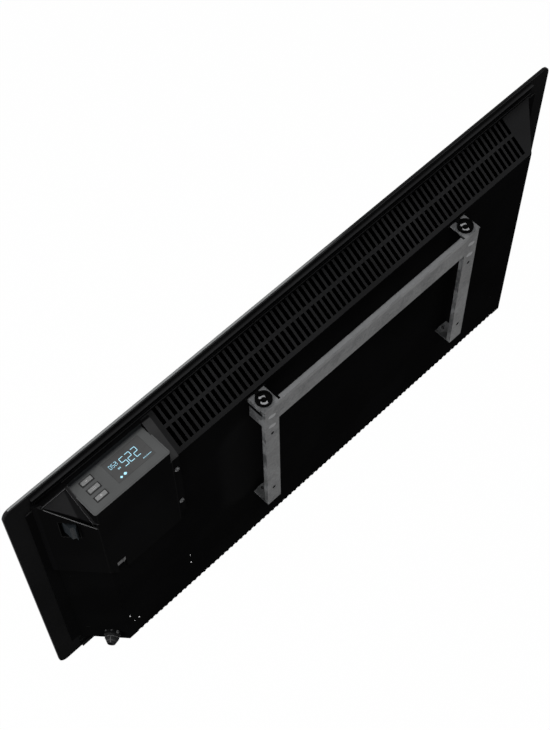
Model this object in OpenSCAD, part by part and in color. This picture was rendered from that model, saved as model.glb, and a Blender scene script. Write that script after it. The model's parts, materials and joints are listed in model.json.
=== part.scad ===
// Glass-fronted electric panel radiator on its wall bracket, with a sheet-metal rear casing
// and a control box on the casing's upper corner.
// Frame: the origin is the middle of the bracket's four screw holes, on the wall's face.
// X runs to the right as seen from the room, Y towards the wall, Z up.

/* [Glass front] */
// Width of the glass
glass_w = 835; // [825:1:900]
// Height of the glass
glass_h = 427; // [424:1:460]
// Thickness of the glass
glass_t = 4; // [3:0.5:6]
// Radius of the glass's corners
glass_corner_r = 12; // [4:1:20]
// Ground edge of the glass, measured across the bevel
glass_bevel = 0.6; // [0.3:0.1:1]
// How far the glass stands above the casing
glass_above = 25; // [23:0.2:32]
// Thickness of the bonding tape between glass and casing
bond_t = 0.7; // [0.4:0.1:1.5]
// Width of the bonding tape
bond_w = 9; // [6:1:11]

/* [Glass rails] */
// Depth of each rail's ledge
rail_d = 4.4; // [3:0.2:8]
// Height of each rail's bonded web
rail_h = 11; // [8:1:14]
// Wall of the rails
rail_t = 1.4; // [1:0.1:2]
// Gap from the ledge to the glass's edge
rail_edge = 6.5; // [4:0.5:10]
// How far a rail stops short of the casing's side flange
rail_short = 10; // [4:1:30]

/* [Casing] */
// Middle of the casing, to the right of the bracket's middle
case_x = 46.5; // [40:0.5:52]
// Upper edge of the casing, above the middle of the wall screws
case_top = 167.6; // [165:0.2:172]
// Width of the flat back panel
case_w = 682; // [676:1:700]
// Height of the casing from its upper to its lower edge
case_h = 370; // [355:1:372]
// Depth of the casing from its front flange to its back panel
case_d = 46; // [44:0.5:50]
// How far each end wall runs outwards on its way to the front
end_run = 41; // [38:0.5:46]
// How far the sloping grille falls
slope_drop = 32.5; // [30:0.5:36]
// Thickness of the casing's sheet
sheet_t = 1; // [0.8:0.1:1.2]
// Width of the side flanges that lie on the glass
flange_w = 12.5; // [11:0.5:16]
// Gap between the upper flange and the rail above it
flange_gap = 0.8; // [0.5:0.1:2]
// Gap between the lower flange and the rail below it
low_flange_gap = 4; // [2:0.5:8]
// Shortening of the side flanges at their upper and lower ends
flange_relief = 6; // [4:0.5:12]

/* [Grille] */
// Spacing of the slots
slot_pitch = 8; // [7.8:0.1:8]
// Width of a slot
slot_w = 4.8; // [3:0.1:6]
// Number of slots in each sloping row
slot_n = 70; // [20:1:70]
// Length of a slot in the upper row
slot_l1 = 21.2; // [14:0.2:22]
// Length of a slot in the lower row
slot_l2 = 24.6; // [14:0.2:25]
// Land above the upper row
slot_edge = 0.9; // [0.6:0.1:1.6]
// Land between the rows
slot_land = 4.3; // [3:0.1:5]
// From the control box's flange to the first slot's middle
slot_from_cover = 9; // [7:0.5:10]
// Number of slots in each row of the casing's floor
floor_slot_n = 82; // [20:1:82]
// Length of a floor slot
floor_slot_l = 17; // [10:0.5:18]
// Land between the two rows of floor slots
floor_land = 3; // [2:0.5:6]
// Height of the scallop where a floor slot runs into the back panel
scallop_h = 2.2; // [1:0.1:4]

/* [Control box] */
// From the casing's rear corner to the box's far side
box_w = 101.3; // [96:0.1:104]
// How far the box stands out behind the back panel
box_lift = 1.9; // [1.6:0.1:3]
// How far the box's end face stands outside the casing's end wall
box_end_lift = 4; // [2.5:0.1:5]
// Thickness of the box's sheet
box_t = 1; // [0.8:0.1:1.2]
// Lower edge of the box, below the middle of the wall screws
box_low = 8.5; // [0:0.5:14]
// Height of the cut corner at the box's lower edge
box_cut = 20; // [14:0.5:26]
// Width of the flange that laps over the casing
box_flange = 10; // [8:0.5:12]
// Level of the control panel, below the casing's upper edge
panel_drop = 10.6; // [9.5:0.1:13]
// Rim between the casing's upper edge and the panel
panel_rim = 3.7; // [3.3:0.1:5]
// From the casing's rear corner to the panel's outer side, outwards
panel_out = 2.6; // [1:0.1:3]
// Thickness of the control panel
panel_t = 2.4; // [2:0.1:3]
// Corner radius of the control panel
panel_r = 3; // [1.5:0.1:5]
// Clearance round parts that are set in
fit = 0.15; // [0.1:0.01:0.2]

/* [Display and buttons] */
// Length of the display window
window_w = 50; // [44:0.5:52]
// Width of the display window
window_d = 29; // [24:0.5:30]
// Thickness of the display window
window_t = 1.2; // [0.8:0.1:1.4]
// Ledge that carries the window
window_ledge = 1.5; // [1:0.1:2]
// From the panel's inner side to the window
window_in = 10.4; // [8:0.1:14]
// From the panel's front edge to the window
window_front = 4.6; // [3:0.1:7]
// Length of a button
button_w = 13.6; // [10:0.1:15]
// Width of a button
button_d = 5; // [4:0.1:6]
// Spacing of the buttons
button_pitch = 11.6; // [10:0.1:12]
// From the panel's outer side to the middle of the buttons
button_in = 20; // [17:0.1:22]
// From the panel's front edge to the first button's middle
button_front = 7.9; // [6:0.1:9]
// Height of a button above the panel
button_proud = 1; // [0.8:0.1:1.4]
// Travel of a button
button_travel = 0.7; // [0.4:0.1:0.7]

/* [Power switch] */
// Width of the rocker, along the box's end face
rocker_w = 20; // [16:0.5:22]
// Height of the rocker
rocker_h = 27; // [22:0.5:29]
// Angle between on and off
rocker_swing = 18; // [12:1:20]
// From the box's rear corner to the middle of the switch
rocker_along = 31; // [29:0.5:33]
// Height of the switch's middle above the wall screws' middle
rocker_up = 121; // [112:0.5:121.5]

/* [Cable gland] */
// Thread diameter
gland_d = 16; // [15:0.5:18]
// Bore for the cable
gland_bore = 7; // [5:0.5:8]
// Length outside the casing
gland_out = 15.4; // [14:0.2:20]
// From the casing's rear corner to the gland's axis
gland_along = 19.5; // [16:0.5:26]
// Height of the gland's axis above the casing's lower edge
gland_up = 18.5; // [13.5:0.5:20]

/* [Wall bracket] */
// Spacing of the wall screws across the bracket
screw_dx = 326; // [300:1:340]
// Spacing of the wall screws down each leg
screw_dz = 136; // [120:1:150]
// Diameter of the wall screw holes
screw_hole_d = 4.5; // [4:0.1:6.5]
// Depth of the bracket
bracket_d = 25; // [22:0.5:30]
// Width of a leg
leg_w = 21; // [18:0.5:24]
// Thickness of the bracket's sheet
bracket_t = 1.5; // [1.2:0.1:2]
// Top of the bracket above the middle of the wall screws
bracket_top = 127.5; // [124:0.5:128]
// Height of the bracket
bracket_h = 230; // [220:1:240]
// Height of the crossbar
bar_h = 36; // [28:1:40]
// Depth of the crossbar's upper ledge
bar_ledge = 4; // [3:0.5:6]
// Depth of the legs' side flanges
leg_side = 5.8; // [4:0.2:8]
// Width of the shelf on top of each leg
shelf_w = 24; // [22:0.5:26]
// Height of the cheek that bears on the back panel
cheek_h = 29; // [20:1:34]
// Slit between the shelf's lip and the cheek
cheek_slit = 3.2; // [2:0.2:5]
// Height of the shelf's side lip
shelf_lip = 6; // [4:0.5:8]

/* [Twist locks] */
// Diameter of the knob
lock_d = 19.5; // [16:0.5:21]
// Height of the knob
lock_h = 4; // [3:0.2:4.2]
// Diameter of the shank
lock_shank_d = 7; // [6:0.2:8]
// Running clearance of the shank, on radius
lock_play = 0.08; // [0.04:0.01:0.1]
// Width of the tongue
lock_tongue_w = 6; // [5:0.2:8]
// How far the tongue reaches through the back panel
lock_reach = 3; // [2:0.2:4]

/* [Heating parts] */
// Length of the heating element's fins
element_l = 500; // [440:5:510]
// Height of the element across its fins
element_h = 42; // [30:1:46]
// Middle of the element below the middle of the wall screws
element_low = 95; // [88:1:100]
// Diameter of the element's tube
element_core_d = 12; // [10:0.5:14]
// Thickness of the heat shield
shield_t = 0.6; // [0.5:0.1:1]
// Height of the heat shield
shield_h = 230; // [200:5:240]

/* [Hidden] */

$fn = 48;
overrun = 1;
joint_gap = 0.3;

y_back = -(bracket_d + joint_gap);
y_front = y_back - case_d;
y_glass = y_front - bond_t;
z_edge = case_top;
z_bend = case_top - slope_drop;
z_low = case_top - case_h;
z_mid = z_low + case_h / 2;
case_corner_x = case_x + case_w / 2;

end_angle = atan2(case_d, end_run);
slope_angle = atan2(slope_drop, case_d);
slope_len = norm([case_d, slope_drop]);
end_len = norm([case_d, end_run]);

function end_x(y, inset = 0) = case_w / 2 + end_run * (y_back - y) / case_d - inset / sin(end_angle);
function slope_z(y, inset = 0) = z_bend + slope_drop * (y_back - y) / case_d - inset / cos(slope_angle);

flange_out = end_x(y_front) + flange_w;
flange_y = y_front + sheet_t;
glass_top_z = z_edge + glass_above;
glass_mid_z = glass_top_z - glass_h / 2;
rail_half = flange_out - rail_short;
flange_top_z = glass_top_z - rail_edge - rail_h - flange_gap;
flange_low_z = glass_top_z - glass_h + rail_edge + rail_h + low_flange_gap;

module along_x(x0, x1) {
    translate([x0, 0, 0]) rotate([90, 0, 90]) linear_extrude(x1 - x0) children();
}

module along_y(y0, y1) {
    translate([0, y1, 0]) rotate([90, 0, 0]) linear_extrude(y1 - y0) children();
}

module block(x, y, z) {
    translate([x[0], y[0], z[0]]) cube([x[1] - x[0], y[1] - y[0], z[1] - z[0]]);
}

module rounded_plate(w, d, r) {
    square([w - 2 * r, d], center = true);
    square([w, d - 2 * r], center = true);
    for (x = [-1, 1], y = [-1, 1])
        translate([x * (w / 2 - r), y * (d / 2 - r)]) circle(r);
}

module rod(p, q, d) {
    way = q - p;
    translate(p)
        rotate([0, acos(way[2] / norm(way)), atan2(way[1], way[0])])
            cylinder(d = d, h = norm(way));
}

// A lead through a list of points: each run ends half its diameter past the corner
module lead(points, d) {
    last = len(points) - 1;
    for (i = [1:last]) {
        run = points[i] - points[i - 1];
        past = run * d / (2 * norm(run));
        rod(points[i - 1] - (i > 1 ? past : 0 * past), points[i] + (i < last ? past : 0 * past),
            d, $fn = lead_sides);
    }
}

// The space inside the casing's outer surface, drawn in by inset
module casing_form(inset, y_rear, y_fore, z_floor) {
    intersection() {
        translate([case_x, 0, z_floor])
            linear_extrude(case_h * 2)
                polygon([[-end_x(y_fore, inset), y_fore], [end_x(y_fore, inset), y_fore],
                    [end_x(y_rear, inset), y_rear], [-end_x(y_rear, inset), y_rear]]);
        along_x(case_x - case_w, case_x + case_w)
            polygon([[y_fore, z_floor], [y_rear, z_floor],
                [y_rear, slope_z(y_rear, inset)], [y_fore, slope_z(y_fore, inset)]]);
    }
}

// Local frame on the sloping grille: y runs down the slope, z out of it
module on_slope() {
    translate([0, y_front, z_edge]) rotate([-slope_angle, 0, 0]) children();
}

// Local frame on the right end wall: x runs forwards along it, y out of it, z up
module on_end_wall() {
    translate([case_corner_x, y_back, 0]) rotate([0, 0, -end_angle]) children();
}

// Glass and what is bonded to it

module glass_front() {
    rim = glass_w - 2 * glass_bevel;
    color([0.03, 0.03, 0.035]) {
        translate([case_x, 0, glass_mid_z]) {
            along_y(y_glass - glass_t + glass_bevel, y_glass - glass_bevel)
                rounded_plate(glass_w, glass_h, glass_corner_r);
            along_y(y_glass - glass_t, y_glass)
                rounded_plate(rim, glass_h - 2 * glass_bevel, glass_corner_r - glass_bevel);
        }
    }
}

module bond_tape() {
    side_x = end_x(y_front) + flange_w / 2;
    color([0.12, 0.12, 0.12])
        translate([case_x, 0, 0]) {
            for (s = [-1, 1])
                block([s * side_x - bond_w / 2, s * side_x + bond_w / 2], [y_glass, y_front],
                    [z_low + flange_relief + bond_t, z_edge - flange_relief - bond_t]);
            top_x = end_x(y_front) - flange_relief;
            block([-top_x, top_x], [y_glass, y_front], [z_edge + bond_t, flange_top_z - bond_t]);
            block([-top_x, top_x], [y_glass, y_front], [flange_low_z + bond_t, z_low - bond_t]);
        }
}

module glass_rail(ledge_z, web_way) {
    color([0.07, 0.07, 0.07])
        translate([case_x, 0, ledge_z]) {
            block([-rail_half, rail_half], [y_glass, y_glass + rail_d],
                [min(0, web_way * rail_t), max(0, web_way * rail_t)]);
            block([-rail_half, rail_half], [y_glass, y_glass + rail_t],
                [min(0, web_way * rail_h), max(0, web_way * rail_h)]);
        }
}

module glass_rail_top() {
    glass_rail(glass_top_z - rail_edge, -1);
}

module glass_rail_bottom() {
    glass_rail(glass_top_z - glass_h + rail_edge, 1);
}

// Control box, laid out from the casing's rear corner

box_x0 = case_corner_x - box_w;
panel_x1 = case_corner_x + panel_out;
box_y = y_back + box_lift;
panel_y0 = y_front + panel_rim;
panel_z = z_edge - panel_drop;
panel_mid_x = (box_x0 + panel_x1) / 2;
window_margin = box_t + fit;
panel_in_x0 = box_x0 + window_margin;
panel_in_x1 = panel_x1 - window_margin;
panel_in_y1 = box_y - window_margin;

// Slots and holes of the casing

slot_x0 = box_x0 - box_flange - slot_from_cover;
cut_deep = 4 * sheet_t;
vent_slot = [2, 5];
vent_pair_x = [234, -9.5, -315];
vent_pair_up = [79, 58.5];
gland_slot_at = [[-8, 58.8], [-19.5, 35.8], [-13, 36]];
lock_slot = [30, 4.6];
tongue_slot = [12, 4];
window_cut_drop = 35;
window_cut_z = z_bend - window_cut_drop;
end_slot = [4, 1.4];
end_slot_along = 48;
end_slot_up = [189.4, 32.4];
latch_w = 11.6;
latch_h = 8.4;
latch_t = 1.4;
latch_in = 14.6;
latch_up = 19;
latch_x = case_corner_x - latch_in;
latch_z = latch_up - box_low;
latch_ridge_w = 1.4;
latch_ridge_share = 0.22;
latch_ridge_h = 0.8;
latch_room = 0.4;

module grille_slots() {
    row1_y = slot_edge;
    row2_y = slot_edge + slot_l1 + slot_land;
    on_slope()
        translate([0, 0, -cut_deep / 2])
            linear_extrude(cut_deep)
                for (i = [0:slot_n - 1])
                    translate([slot_x0 - i * slot_pitch - slot_w / 2, 0]) {
                        translate([0, row1_y]) square([slot_w, slot_l1]);
                        translate([0, row2_y]) square([slot_w, slot_l2]);
                    }
}

module floor_slots() {
    span = (floor_slot_n - 1) * slot_pitch;
    for (i = [0:floor_slot_n - 1])
        translate([case_x - span / 2 + i * slot_pitch - slot_w / 2, 0, z_low]) {
            translate([0, y_back - floor_slot_l, -overrun])
                cube([slot_w, floor_slot_l + overrun, overrun + scallop_h]);
            translate([0, y_back - 2 * floor_slot_l - floor_land, -overrun])
                cube([slot_w, floor_slot_l, 2 * overrun + sheet_t]);
        }
}

module back_panel_cuts() {
    along_y(y_back - cut_deep, y_back + overrun) {
        for (x = vent_pair_x, z = vent_pair_up)
            translate([case_x + x, z_low + z]) square(vent_slot, center = true);
        for (p = gland_slot_at)
            translate([case_corner_x + p[0], z_low + p[1]]) square(vent_slot, center = true);
        for (s = [-1, 1]) {
            translate([s * screw_dx / 2, lock_slot_z]) square(lock_slot, center = true);
            translate([s * screw_dx / 2, bracket_foot_z + bracket_t / 2]) square(tongue_slot, center = true);
        }
        for (z = screw_flange_z)
            translate([cover_screw_x, z]) circle(d = cover_screw_d + 2 * fit);
    }
}

// Opening under the control box, through the slope and the top of the back panel
module control_opening() {
    block([box_x0 + box_t, panel_x1 - box_t],
        [panel_y0 - panel_wall - 2 * fit, y_back + overrun], [window_cut_z, z_edge + overrun]);
}

module end_wall_cuts() {
    on_end_wall() {
        for (z = end_slot_up)
            translate([end_slot_along - end_slot[0] / 2, -cut_deep / 2, z_low + z])
                cube([end_slot[0], cut_deep, end_slot[1]]);
        translate([gland_along, -cut_deep / 2, z_low + gland_up])
            rotate([-90, 0, 0]) cylinder(d = gland_d + 2 * fit, h = cut_deep);
        translate([rocker_along - switch_w / 2 - switch_room, -cut_deep / 2,
            rocker_up - switch_h / 2 - switch_room])
            cube([switch_w + 2 * switch_room, cut_deep, switch_h + 2 * switch_room]);
    }
}

module rear_casing() {
    flange_x = end_x(y_front);
    color([0.05, 0.05, 0.05])
        difference() {
            union() {
                difference() {
                    casing_form(0, y_back, y_front, z_low);
                    casing_form(sheet_t, y_back - sheet_t, y_front - overrun, z_low + sheet_t);
                }
                translate([case_x, 0, 0]) {
                    for (s = [-1, 1]) {
                        x_in = s * (flange_x - sheet_t);
                        block([min(x_in, s * flange_out), max(x_in, s * flange_out)],
                            [y_front, flange_y], [z_low + flange_relief, z_edge - flange_relief]);
                    }
                    block([-rail_half, rail_half], [y_front, flange_y], [z_edge + sheet_t / 2, flange_top_z]);
                    block([-flange_x + flange_relief, flange_x - flange_relief], [y_front, flange_y],
                        [slope_z(flange_y, sheet_t), z_edge + sheet_t]);
                    block([-rail_half, rail_half], [y_front, flange_y], [flange_low_z, z_low]);
                    block([-flange_x + flange_relief, flange_x - flange_relief], [y_front, flange_y],
                        [z_low - sheet_t, z_low + sheet_t]);
                }
            }
            grille_slots();
            floor_slots();
            back_panel_cuts();
            control_opening();
            end_wall_cuts();
        }
}

// Heating parts inside the casing

element_shift = 40;
element_x = case_x - element_shift;
element_y = y_back - case_d / 2;
element_fin_t = 1.6;
element_fin_n = 6;
element_d = 26;
element_pin_d = 6;
element_pin_l = 22;
element_bracket_t = 1;
element_bracket_off = 7;
element_bracket_w = 24;
bush_d = 14;
bush_l = 8;

module heating_element() {
    color([0.72, 0.73, 0.75])
        translate([element_x, element_y, -element_low]) {
            along_x(-element_l / 2, element_l / 2) {
                circle(d = element_core_d);
                square([element_fin_t, element_h], center = true);
                for (i = [0:element_fin_n - 1])
                    translate([0, (i - (element_fin_n - 1) / 2) * element_h / element_fin_n])
                        square([element_d, element_fin_t], center = true);
            }
            rod([-element_l / 2 - element_pin_l, 0, 0], [element_l / 2 + element_pin_l, 0, 0], element_pin_d);
        }
}

module element_bushes() {
    x = element_l / 2 + element_bracket_off;
    color([0.93, 0.91, 0.86])
        translate([element_x, element_y, -element_low])
            for (s = [-1, 1])
                difference() {
                    rod([s * x - bush_l / 2, 0, 0], [s * x + bush_l / 2, 0, 0], bush_d);
                    rod([s * x - bush_l, 0, 0], [s * x + bush_l, 0, 0], element_pin_d + 2 * fit);
                }
}

module element_brackets() {
    x = element_l / 2 + element_bracket_off;
    color([0.62, 0.63, 0.64])
        translate([element_x, 0, -element_low])
            for (s = [-1, 1]) {
                difference() {
                    block([s * x - element_bracket_t / 2, s * x + element_bracket_t / 2],
                        [element_y - element_bracket_w / 2, y_back - sheet_t],
                        [-element_h / 2, element_h / 2]);
                    rod([s * x - overrun, element_y, 0], [s * x + overrun, element_y, 0], bush_d + 2 * fit);
                }
                block([s * x - element_bracket_t / 2, s * x + element_bracket_w / 3],
                    [y_back - sheet_t - element_bracket_t, y_back - sheet_t],
                    [-element_h / 2, element_h / 2]);
            }
}

shield_gap = 4;
shield_drop = 60;
shield_short = 30;
shield_y = y_front + shield_gap;
shield_top = z_bend - shield_drop;
shield_half = case_w / 2 - shield_short;
shield_spacer_d = 7;
shield_hole_d = 3.4;

module heat_shield() {
    color([0.8, 0.81, 0.82])
        difference() {
            block([case_x - shield_half, case_x + shield_half], [shield_y - shield_t, shield_y],
                [shield_top - shield_h, shield_top]);
            for (p = shield_spacer_at)
                translate([p[0], shield_y + overrun, p[1]])
                    rotate([90, 0, 0]) cylinder(d = shield_hole_d, h = shield_t + 2 * overrun);
        }
}

shield_spacer_at = [for (s = [-1, 1], z = [0, 1])
    [case_x + s * (shield_half - shield_spacer_d),
        shield_top - shield_spacer_d - z * (shield_h - 2 * shield_spacer_d)]];

module shield_spacers() {
    color([0.75, 0.75, 0.76])
        for (p = shield_spacer_at)
            translate([p[0], y_back - sheet_t, p[1]]) rotate([90, 0, 0]) {
                cylinder(d = shield_spacer_d, h = y_back - sheet_t - shield_y);
                cylinder(d = shield_hole_d - 2 * fit, h = y_back - sheet_t - shield_y + shield_t);
            }
}

// Overheat cut-out on a strap above the element
cutout_off = 150;
cutout_x = case_x + cutout_off;
cutout_z = -element_low + element_h;
cutout_d = 16;
cutout_h = 9;
cutout_ear = [24, 1, 8];
strap_w = 14;
strap_t = 1;

module thermal_cutout() {
    color([0.2, 0.2, 0.2])
        translate([cutout_x, strap_y, cutout_z]) {
            rotate([90, 0, 0]) cylinder(d = cutout_d, h = cutout_h);
            translate([0, -cutout_ear[1] / 2, 0]) cube(cutout_ear, center = true);
            for (s = [-1, 1])
                translate([s * cutout_d / 4, -cutout_h - cutout_ear[2] / 2, 0])
                    cube([cutout_ear[1], cutout_ear[2], cutout_d / 3], center = true);
        }
}

strap_stand = 8;
strap_y = y_back - sheet_t - strap_stand;

module cutout_strap() {
    half = cutout_ear[0] / 2;
    color([0.62, 0.63, 0.64])
        translate([cutout_x, 0, cutout_z]) {
            block([-half, half], [strap_y, strap_y + strap_t], [-strap_w / 2, strap_w / 2]);
            for (s = [-1, 1])
                block([s * half - strap_t / 2, s * half + strap_t / 2], [strap_y, y_back - sheet_t],
                    [-strap_w / 2, strap_w / 2]);
        }
}

sensor_in = 60;
sensor_up = 26;
sensor_x = case_corner_x - sensor_in;
sensor_z = z_low + sensor_up;
sensor_d = 5;
sensor_l = 14;
sensor_clip = [10, 12, 8];

module room_sensor() {
    color([0.9, 0.9, 0.88])
        translate([sensor_x, y_back - sheet_t, sensor_z]) {
            block([-sensor_clip[0] / 2, sensor_clip[0] / 2], [-sensor_clip[1], 0], [0, sensor_clip[2]]);
            translate([0, -sensor_clip[1] / 2, -sensor_l]) cylinder(d = sensor_d, h = sensor_l + overrun);
        }
}

// Power board behind the back panel, under the control box
board_t = 1.6;
power_in = 18;
power_w = 70;
power_low = 70;
power_h = 80;
power_x = [case_corner_x - power_in - power_w, case_corner_x - power_in];
power_z = [-power_low, power_h - power_low];
power_gap = 6;
power_y = y_back - sheet_t - power_gap;
spacer_d = 6;
spacer_in = 5;
relay_size = [22, 17, 28];
heatsink_size = [18, 20, 34];
heatsink_fin_n = 5;
heatsink_fin_t = 1.4;
heatsink_step = (heatsink_size[0] - heatsink_fin_t) / (heatsink_fin_n - 1);
block_size = [44, 16, 14];
block_screw_d = 4;
block_pole_n = 5;

module power_board() {
    color([0.1, 0.35, 0.16])
        difference() {
            block(power_x, [power_y - board_t, power_y], power_z);
            for (p = power_spacer_at)
                translate([p[0], power_y + overrun, p[1]])
                    rotate([90, 0, 0]) cylinder(d = spacer_hole_d, h = board_t + 2 * overrun);
        }
}

spacer_hole_d = 3;
power_spacer_at = [for (x = power_x + [spacer_in, -spacer_in], z = power_z + [spacer_in, -spacer_in]) [x, z]];

module power_board_spacers() {
    color([0.92, 0.92, 0.9])
        for (p = power_spacer_at)
            translate([p[0], y_back - sheet_t, p[1]]) rotate([90, 0, 0]) {
                cylinder(d = spacer_d, h = power_gap);
                cylinder(d = spacer_hole_d - 2 * fit, h = power_gap + board_t + overrun);
            }
}

module relay() {
    color([0.1, 0.1, 0.12])
        translate([power_x[0] + spacer_in + spacer_d, power_y - board_t - relay_size[1],
            power_z[1] - relay_size[2] - spacer_in])
            cube(relay_size);
}

module heatsink() {
    color([0.7, 0.71, 0.73])
        translate([power_x[1] - spacer_in - spacer_d - heatsink_size[0], power_y - board_t,
            power_z[1] - spacer_in - heatsink_size[2]]) {
            block([0, heatsink_size[0]], [-heatsink_fin_t, 0], [0, heatsink_size[2]]);
            for (i = [0:heatsink_fin_n - 1])
                translate([i * heatsink_step, -heatsink_size[1], 0])
                    cube([heatsink_fin_t, heatsink_size[1], heatsink_size[2]]);
        }
}

terminal_x0 = (power_x[0] + power_x[1] - block_size[0]) / 2;
terminal_z0 = power_z[0] + spacer_in;

module terminal_block() {
    color([0.88, 0.88, 0.84])
        difference() {
            translate([terminal_x0, power_y - board_t - block_size[1], terminal_z0]) cube(block_size);
            for (i = [0:block_pole_n - 1])
                translate([terminal_x0 + (i + 1 / 2) * pole_w, lead_y, terminal_z0 - overrun])
                    cylinder(d = block_screw_d, h = block_size[2] / 2 + overrun);
        }
}

earth_d = 4;
earth_l = 14;
earth_nut_d = 8;
earth_nut_h = 3.2;
earth_in = 25;
earth_up = 40;
earth_x = case_corner_x - earth_in;
earth_z = z_low + earth_up;

module earth_stud() {
    color([0.75, 0.68, 0.42])
        translate([earth_x, y_back - sheet_t, earth_z]) rotate([90, 0, 0]) {
            cylinder(d = earth_d, h = earth_l);
            cylinder(d = earth_nut_d, h = earth_nut_h, $fn = 6);
        }
}

lead_d = 2.6;
lead_sides = 8;
lead_tail = 10;
lead_drop = 20;
lead_low = 35;
lead_back = 4;
pole_w = block_size[0] / block_pole_n;
lead_y = power_y - board_t - block_size[1] / 2;
lead_z = terminal_z0 + lead_d;

// From the terminal block to the element's two pins, the far one along the back panel
module element_leads() {
    pin_z = -element_low;
    near_x = element_x + element_l / 2 + element_pin_l;
    far_x = element_x - element_l / 2 - element_pin_l;
    x0 = terminal_x0 + pole_w / 2;
    x1 = x0 + pole_w;
    drop_z = terminal_z0 - lead_drop;
    low_z = pin_z - lead_low;
    back_y = y_back - sheet_t - lead_back;
    color([0.75, 0.1, 0.08]) {
        lead([[x0, lead_y, lead_z], [x0, lead_y, drop_z], [near_x + lead_tail, element_y, pin_z],
            [near_x, element_y, pin_z]], lead_d);
        lead([[x1, lead_y, lead_z], [x1, lead_y, low_z], [x1 - lead_tail, back_y, low_z],
            [far_x - lead_tail, back_y, low_z], [far_x - lead_tail, element_y, pin_z],
            [far_x, element_y, pin_z]], lead_d);
    }
}

// Sheet cover of the control box

cover_low = -box_low;
panel_wall = 1.6;
flange_short = 3;
cover_flange_up = 14.5;
cover_flange_low = cover_flange_up - box_low;
end_face_rise = 6;
end_face_fall = 8.1;
end_face_drop = 75;
end_face_top = z_edge + end_face_rise;
end_face_rear_top = z_bend - end_face_fall;
end_face_z = z_bend - end_face_drop;
end_face_rear = box_end_lift / tan(end_angle) / 2;

// Plan of the box, drawn in by inset, back to the end face and out to the side flange
module box_plan(inset, y_fore) {
    y_rear = box_y - inset;
    out = inset - box_end_lift;
    polygon([[box_x0 + inset, y_fore], [case_x + end_x(y_fore, out), y_fore],
        [case_x + end_x(y_rear, out), y_rear], [box_x0 + inset, y_rear]]);
}

module box_form(inset, y_fore, z_floor) {
    intersection() {
        translate([0, 0, z_floor]) linear_extrude(case_h) box_plan(inset, y_fore);
        along_x(box_x0, case_x + case_w)
            polygon([[y_fore, z_floor], [box_y - inset, z_floor],
                [box_y - inset, slope_z(box_y - inset, inset - box_t - fit)],
                [y_fore, slope_z(y_fore, inset - box_t - fit)]]);
    }
}

// Upright housing of the panel
module wedge_form(inset, z_floor, z_top) {
    r = panel_r - inset;
    x0 = box_x0 + inset;
    x1 = panel_x1 - inset;
    y0 = panel_y0;
    y1 = box_y - inset;
    translate([0, 0, z_floor]) linear_extrude(z_top - z_floor) {
        translate([x0, y0]) square([x1 - x0, y1 - y0 - r]);
        translate([x0 + r, y1 - 2 * r]) square([x1 - x0 - 2 * r, 2 * r]);
        for (x = [x0 + r, x1 - r]) translate([x, y1 - r]) circle(r);
    }
}

rim_strip = 2.8;
panel_lip = 0.8;
lip_y = y_back - (panel_z - panel_lip - fit - z_bend - (box_t + fit) / cos(slope_angle)) * case_d / slope_drop;

// Corner opening beside the panel, bounded by the end face
module corner_opening() {
    x0 = panel_x1 + rim_strip;
    y0 = panel_y0 + rim_strip;
    out = box_t - box_end_lift;
    y_meet = y_back - (x0 - case_x - case_w / 2 + out / sin(end_angle)) * case_d / end_run;
    translate([0, 0, z_bend - slope_drop])
        linear_extrude(3 * slope_drop)
            polygon([[x0, y0], [case_x + end_x(y0, out), y0], [x0, y_meet]]);
}

cover_screw_drop = [24, 100];
screw_flange_z = [for (drop = cover_screw_drop) z_bend - drop];
cover_hole_d = 3.4;
cover_screw_share = 0.45;
cover_screw_x = box_x0 - box_flange * cover_screw_share;
cover_cut_w = 13.6;

module control_box_cover() {
    z_cut = cover_low + box_cut;
    rear_x = case_x + end_x(box_y, -box_end_lift);
    color([0.05, 0.05, 0.05])
        difference() {
            union() {
                end_face();
                difference() {
                    union() {
                        box_form(0, flange_y + fit, cover_low);
                        wedge_form(0, z_bend, panel_z - panel_lip);
                    }
                    box_form(box_t, y_front - overrun, cover_low - overrun);
                    wedge_form(box_t, cover_low, panel_z + overrun);
                    casing_form(-fit, y_back + fit, y_front - overrun, z_low);
                    end_face_trim();
                }
                box_flange_sheet();
            }
            control_opening_top();
            corner_opening();
            along_y(y_front, box_y + overrun)
                polygon([[rear_x - cover_cut_w, cover_low - overrun], [rear_x - cover_cut_w, cover_low],
                    [rear_x, z_cut], [case_x + case_w, z_cut], [case_x + case_w, cover_low - overrun]]);
            block([latch_x - latch_w / 2 - latch_room, latch_x + latch_w / 2 + latch_room],
                [y_back, box_y + overrun], [cover_low - overrun, latch_z + latch_h + latch_room]);
            for (z = screw_flange_z)
                translate([cover_screw_x, y_back + box_lift + overrun, z])
                    rotate([90, 0, 0]) cylinder(d = cover_hole_d, h = box_lift + 2 * overrun);
            on_end_wall()
                translate([rocker_along - switch_w / 2, 0, rocker_up - switch_h / 2])
                    cube([switch_w, box_end_lift + overrun, switch_h]);
        }
}

// Bright latch on the back panel, in a notch of the box's lower edge
module cover_latch() {
    ridge_x = latch_x - latch_w * latch_ridge_share;
    color([0.6, 0.6, 0.61]) {
        block([latch_x - latch_w / 2, latch_x + latch_w / 2], [y_back, y_back + latch_t],
            [latch_z, latch_z + latch_h]);
        block([ridge_x - latch_ridge_w / 2, ridge_x + latch_ridge_w / 2],
            [y_back + latch_t / 2, y_back + latch_t + latch_ridge_h], [latch_z, latch_z + latch_h]);
    }
}

// Opening over the panel, from the rim back to the box's rear edge
module control_opening_top() {
    block([box_x0 + box_t, panel_x1 - box_t], [panel_y0, box_y - box_t - panel_r],
        [panel_z - overrun, z_edge + overrun]);
}

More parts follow.
